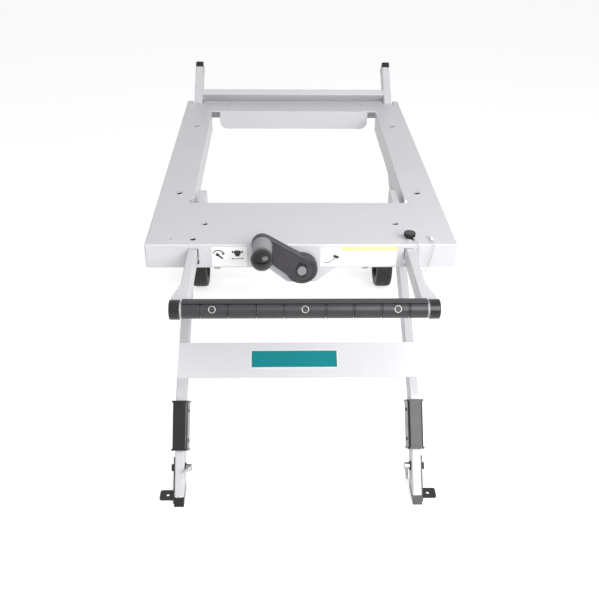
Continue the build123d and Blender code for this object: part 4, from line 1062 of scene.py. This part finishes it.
def lifting_screw():
    length = 2 * rod_half.y
    core_radius = SCREW_RADIUS - THREAD_DEPTH + CORE_OVERLAP
    core = begin("cylinder", vertices=40, radius=core_radius, depth=length - CORE_SHORTER)
    journals = []
    for end, run in ((-1, JOURNAL_FRONT), (1, JOURNAL_REAR)):
        place = (0, 0, end * (length - run) / 2)
        journal = begin("cylinder", vertices=40, radius=SCREW_RADIUS, depth=run, location=place)
        edit(journal, lambda edge: abs(edge.verts[0].co.z - edge.verts[1].co.z) < LEVEL, "EDGE")
        bpy.ops.mesh.bevel(offset=JOURNAL_EDGE, segments=2, affect="EDGES")
        close_edit()
        journals.append(journal)
    thread = begin("circle", vertices=4, radius=1, rotation=(math.pi / 2, 0, 0))
    bpy.ops.object.transform_apply(location=True, rotation=True, scale=True)
    edit(thread, None, "VERT")
    bpy.ops.transform.resize(value=(THREAD_DEPTH / 2, 1, THREAD_PITCH * THREAD_HALF_SHARE))
    thread_start = (SCREW_RADIUS - THREAD_DEPTH / 2, 0, JOURNAL_FRONT - length / 2)
    bpy.ops.transform.translate(value=thread_start)
    close_edit()
    sweep = thread.modifiers.new("thread", "SCREW")
    sweep.axis = "Z"
    sweep.screw_offset = THREAD_PITCH
    sweep.iterations = int((length - JOURNAL_FRONT - JOURNAL_REAR) / THREAD_PITCH)
    sweep.steps = sweep.render_steps = THREAD_STEPS
    bpy.ops.object.modifier_apply(modifier="thread")
    edit(thread)
    bpy.ops.mesh.fill_holes(sides=4)
    close_edit()
    rightly_turned(thread)
    rod = join([core, *journals, thread])
    rod.rotation_euler = (-math.pi / 2, 0, 0)
    rod.location = rod_middle
    rod = settle(rod, "lifting_screw", "crank", "zinc_steel", 30)
    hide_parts("lead_screw")
    return rod


lifting_screw()

# %% [markdown]
# The stage is a pale floor under three soft lamps. The floor and the world look white to the
# camera and in reflections, and light everything else less than that. The fill and the strip
# don't show in reflections.

# %% Floor, world and lamps
FLOOR_SIZE = 40.0
FLOOR_GLOW = 0.66
ROOM_LEVEL = 0.38
BACKGROUND = 1.0


def seen_directly(graph):
    """One where a ray comes from the camera, a mirror or clear plastic."""
    camera_ray = graph.node("ShaderNodeLightPath", {}, {}, "Is Camera Ray")
    glossy_ray = graph.node("ShaderNodeLightPath", {}, {}, "Is Glossy Ray")
    clear_ray = graph.node("ShaderNodeLightPath", {}, {}, "Is Transmission Ray")
    return camera_ray | glossy_ray | clear_ray


def build_floor():
    floor = begin("plane", size=FLOOR_SIZE, location=(0, 0, 0))
    floor.name = "floor"
    finish = Finish("floor")
    finish.surface(
        Base_Color=(0.6, 0.6, 0.6, 1),
        Roughness=0.9,
        Emission_Color=(1, 1, 1, 1),
        Emission_Strength=seen_directly(finish) * FLOOR_GLOW,
    )
    floor.data.materials.append(finish.material)


def build_world():
    world = bpy.data.worlds.new("studio")
    world.use_nodes = True
    bpy.context.scene.world = world
    graph = Graph(world.node_tree)
    shader = graph.tree.nodes["Background"]
    shader.inputs["Color"].default_value = (1, 1, 1, 1)
    strength = seen_directly(graph) * (BACKGROUND - ROOM_LEVEL) + ROOM_LEVEL
    graph.plug(shader.inputs["Strength"], strength)


def add_lamp(name, place, target, size, power, mirrored=True):
    """A soft rectangular lamp, in watts. Where mirrored is false, no reflection shows it."""
    lamp_data = bpy.data.lights.new(name, "AREA")
    lamp_data.shape = "RECTANGLE"
    lamp_data.size, lamp_data.size_y = size
    lamp_data.energy = power
    lamp = bpy.data.objects.new(name, lamp_data)
    lamp.location = place
    lamp.visible_glossy = mirrored
    heading = Vector(target) - Vector(place)
    lamp.rotation_euler = heading.to_track_quat("-Z", "Y").to_euler()
    bpy.context.scene.collection.objects.link(lamp)


build_floor()
build_world()
add_lamp("key", (0.98, -1.5, 1.5), (0.15, -0.3, 0.45), size=(1.9, 1.2), power=42)
add_lamp("fill", (-0.6, -4.2, 1.2), (0, 0, 0.4), size=(2.2, 2.2), power=36, mirrored=False)
add_lamp("strip", (0, -1.2, 2.9), (0, -0.2, 0.5), size=(3.0, 0.3), power=17, mirrored=False)
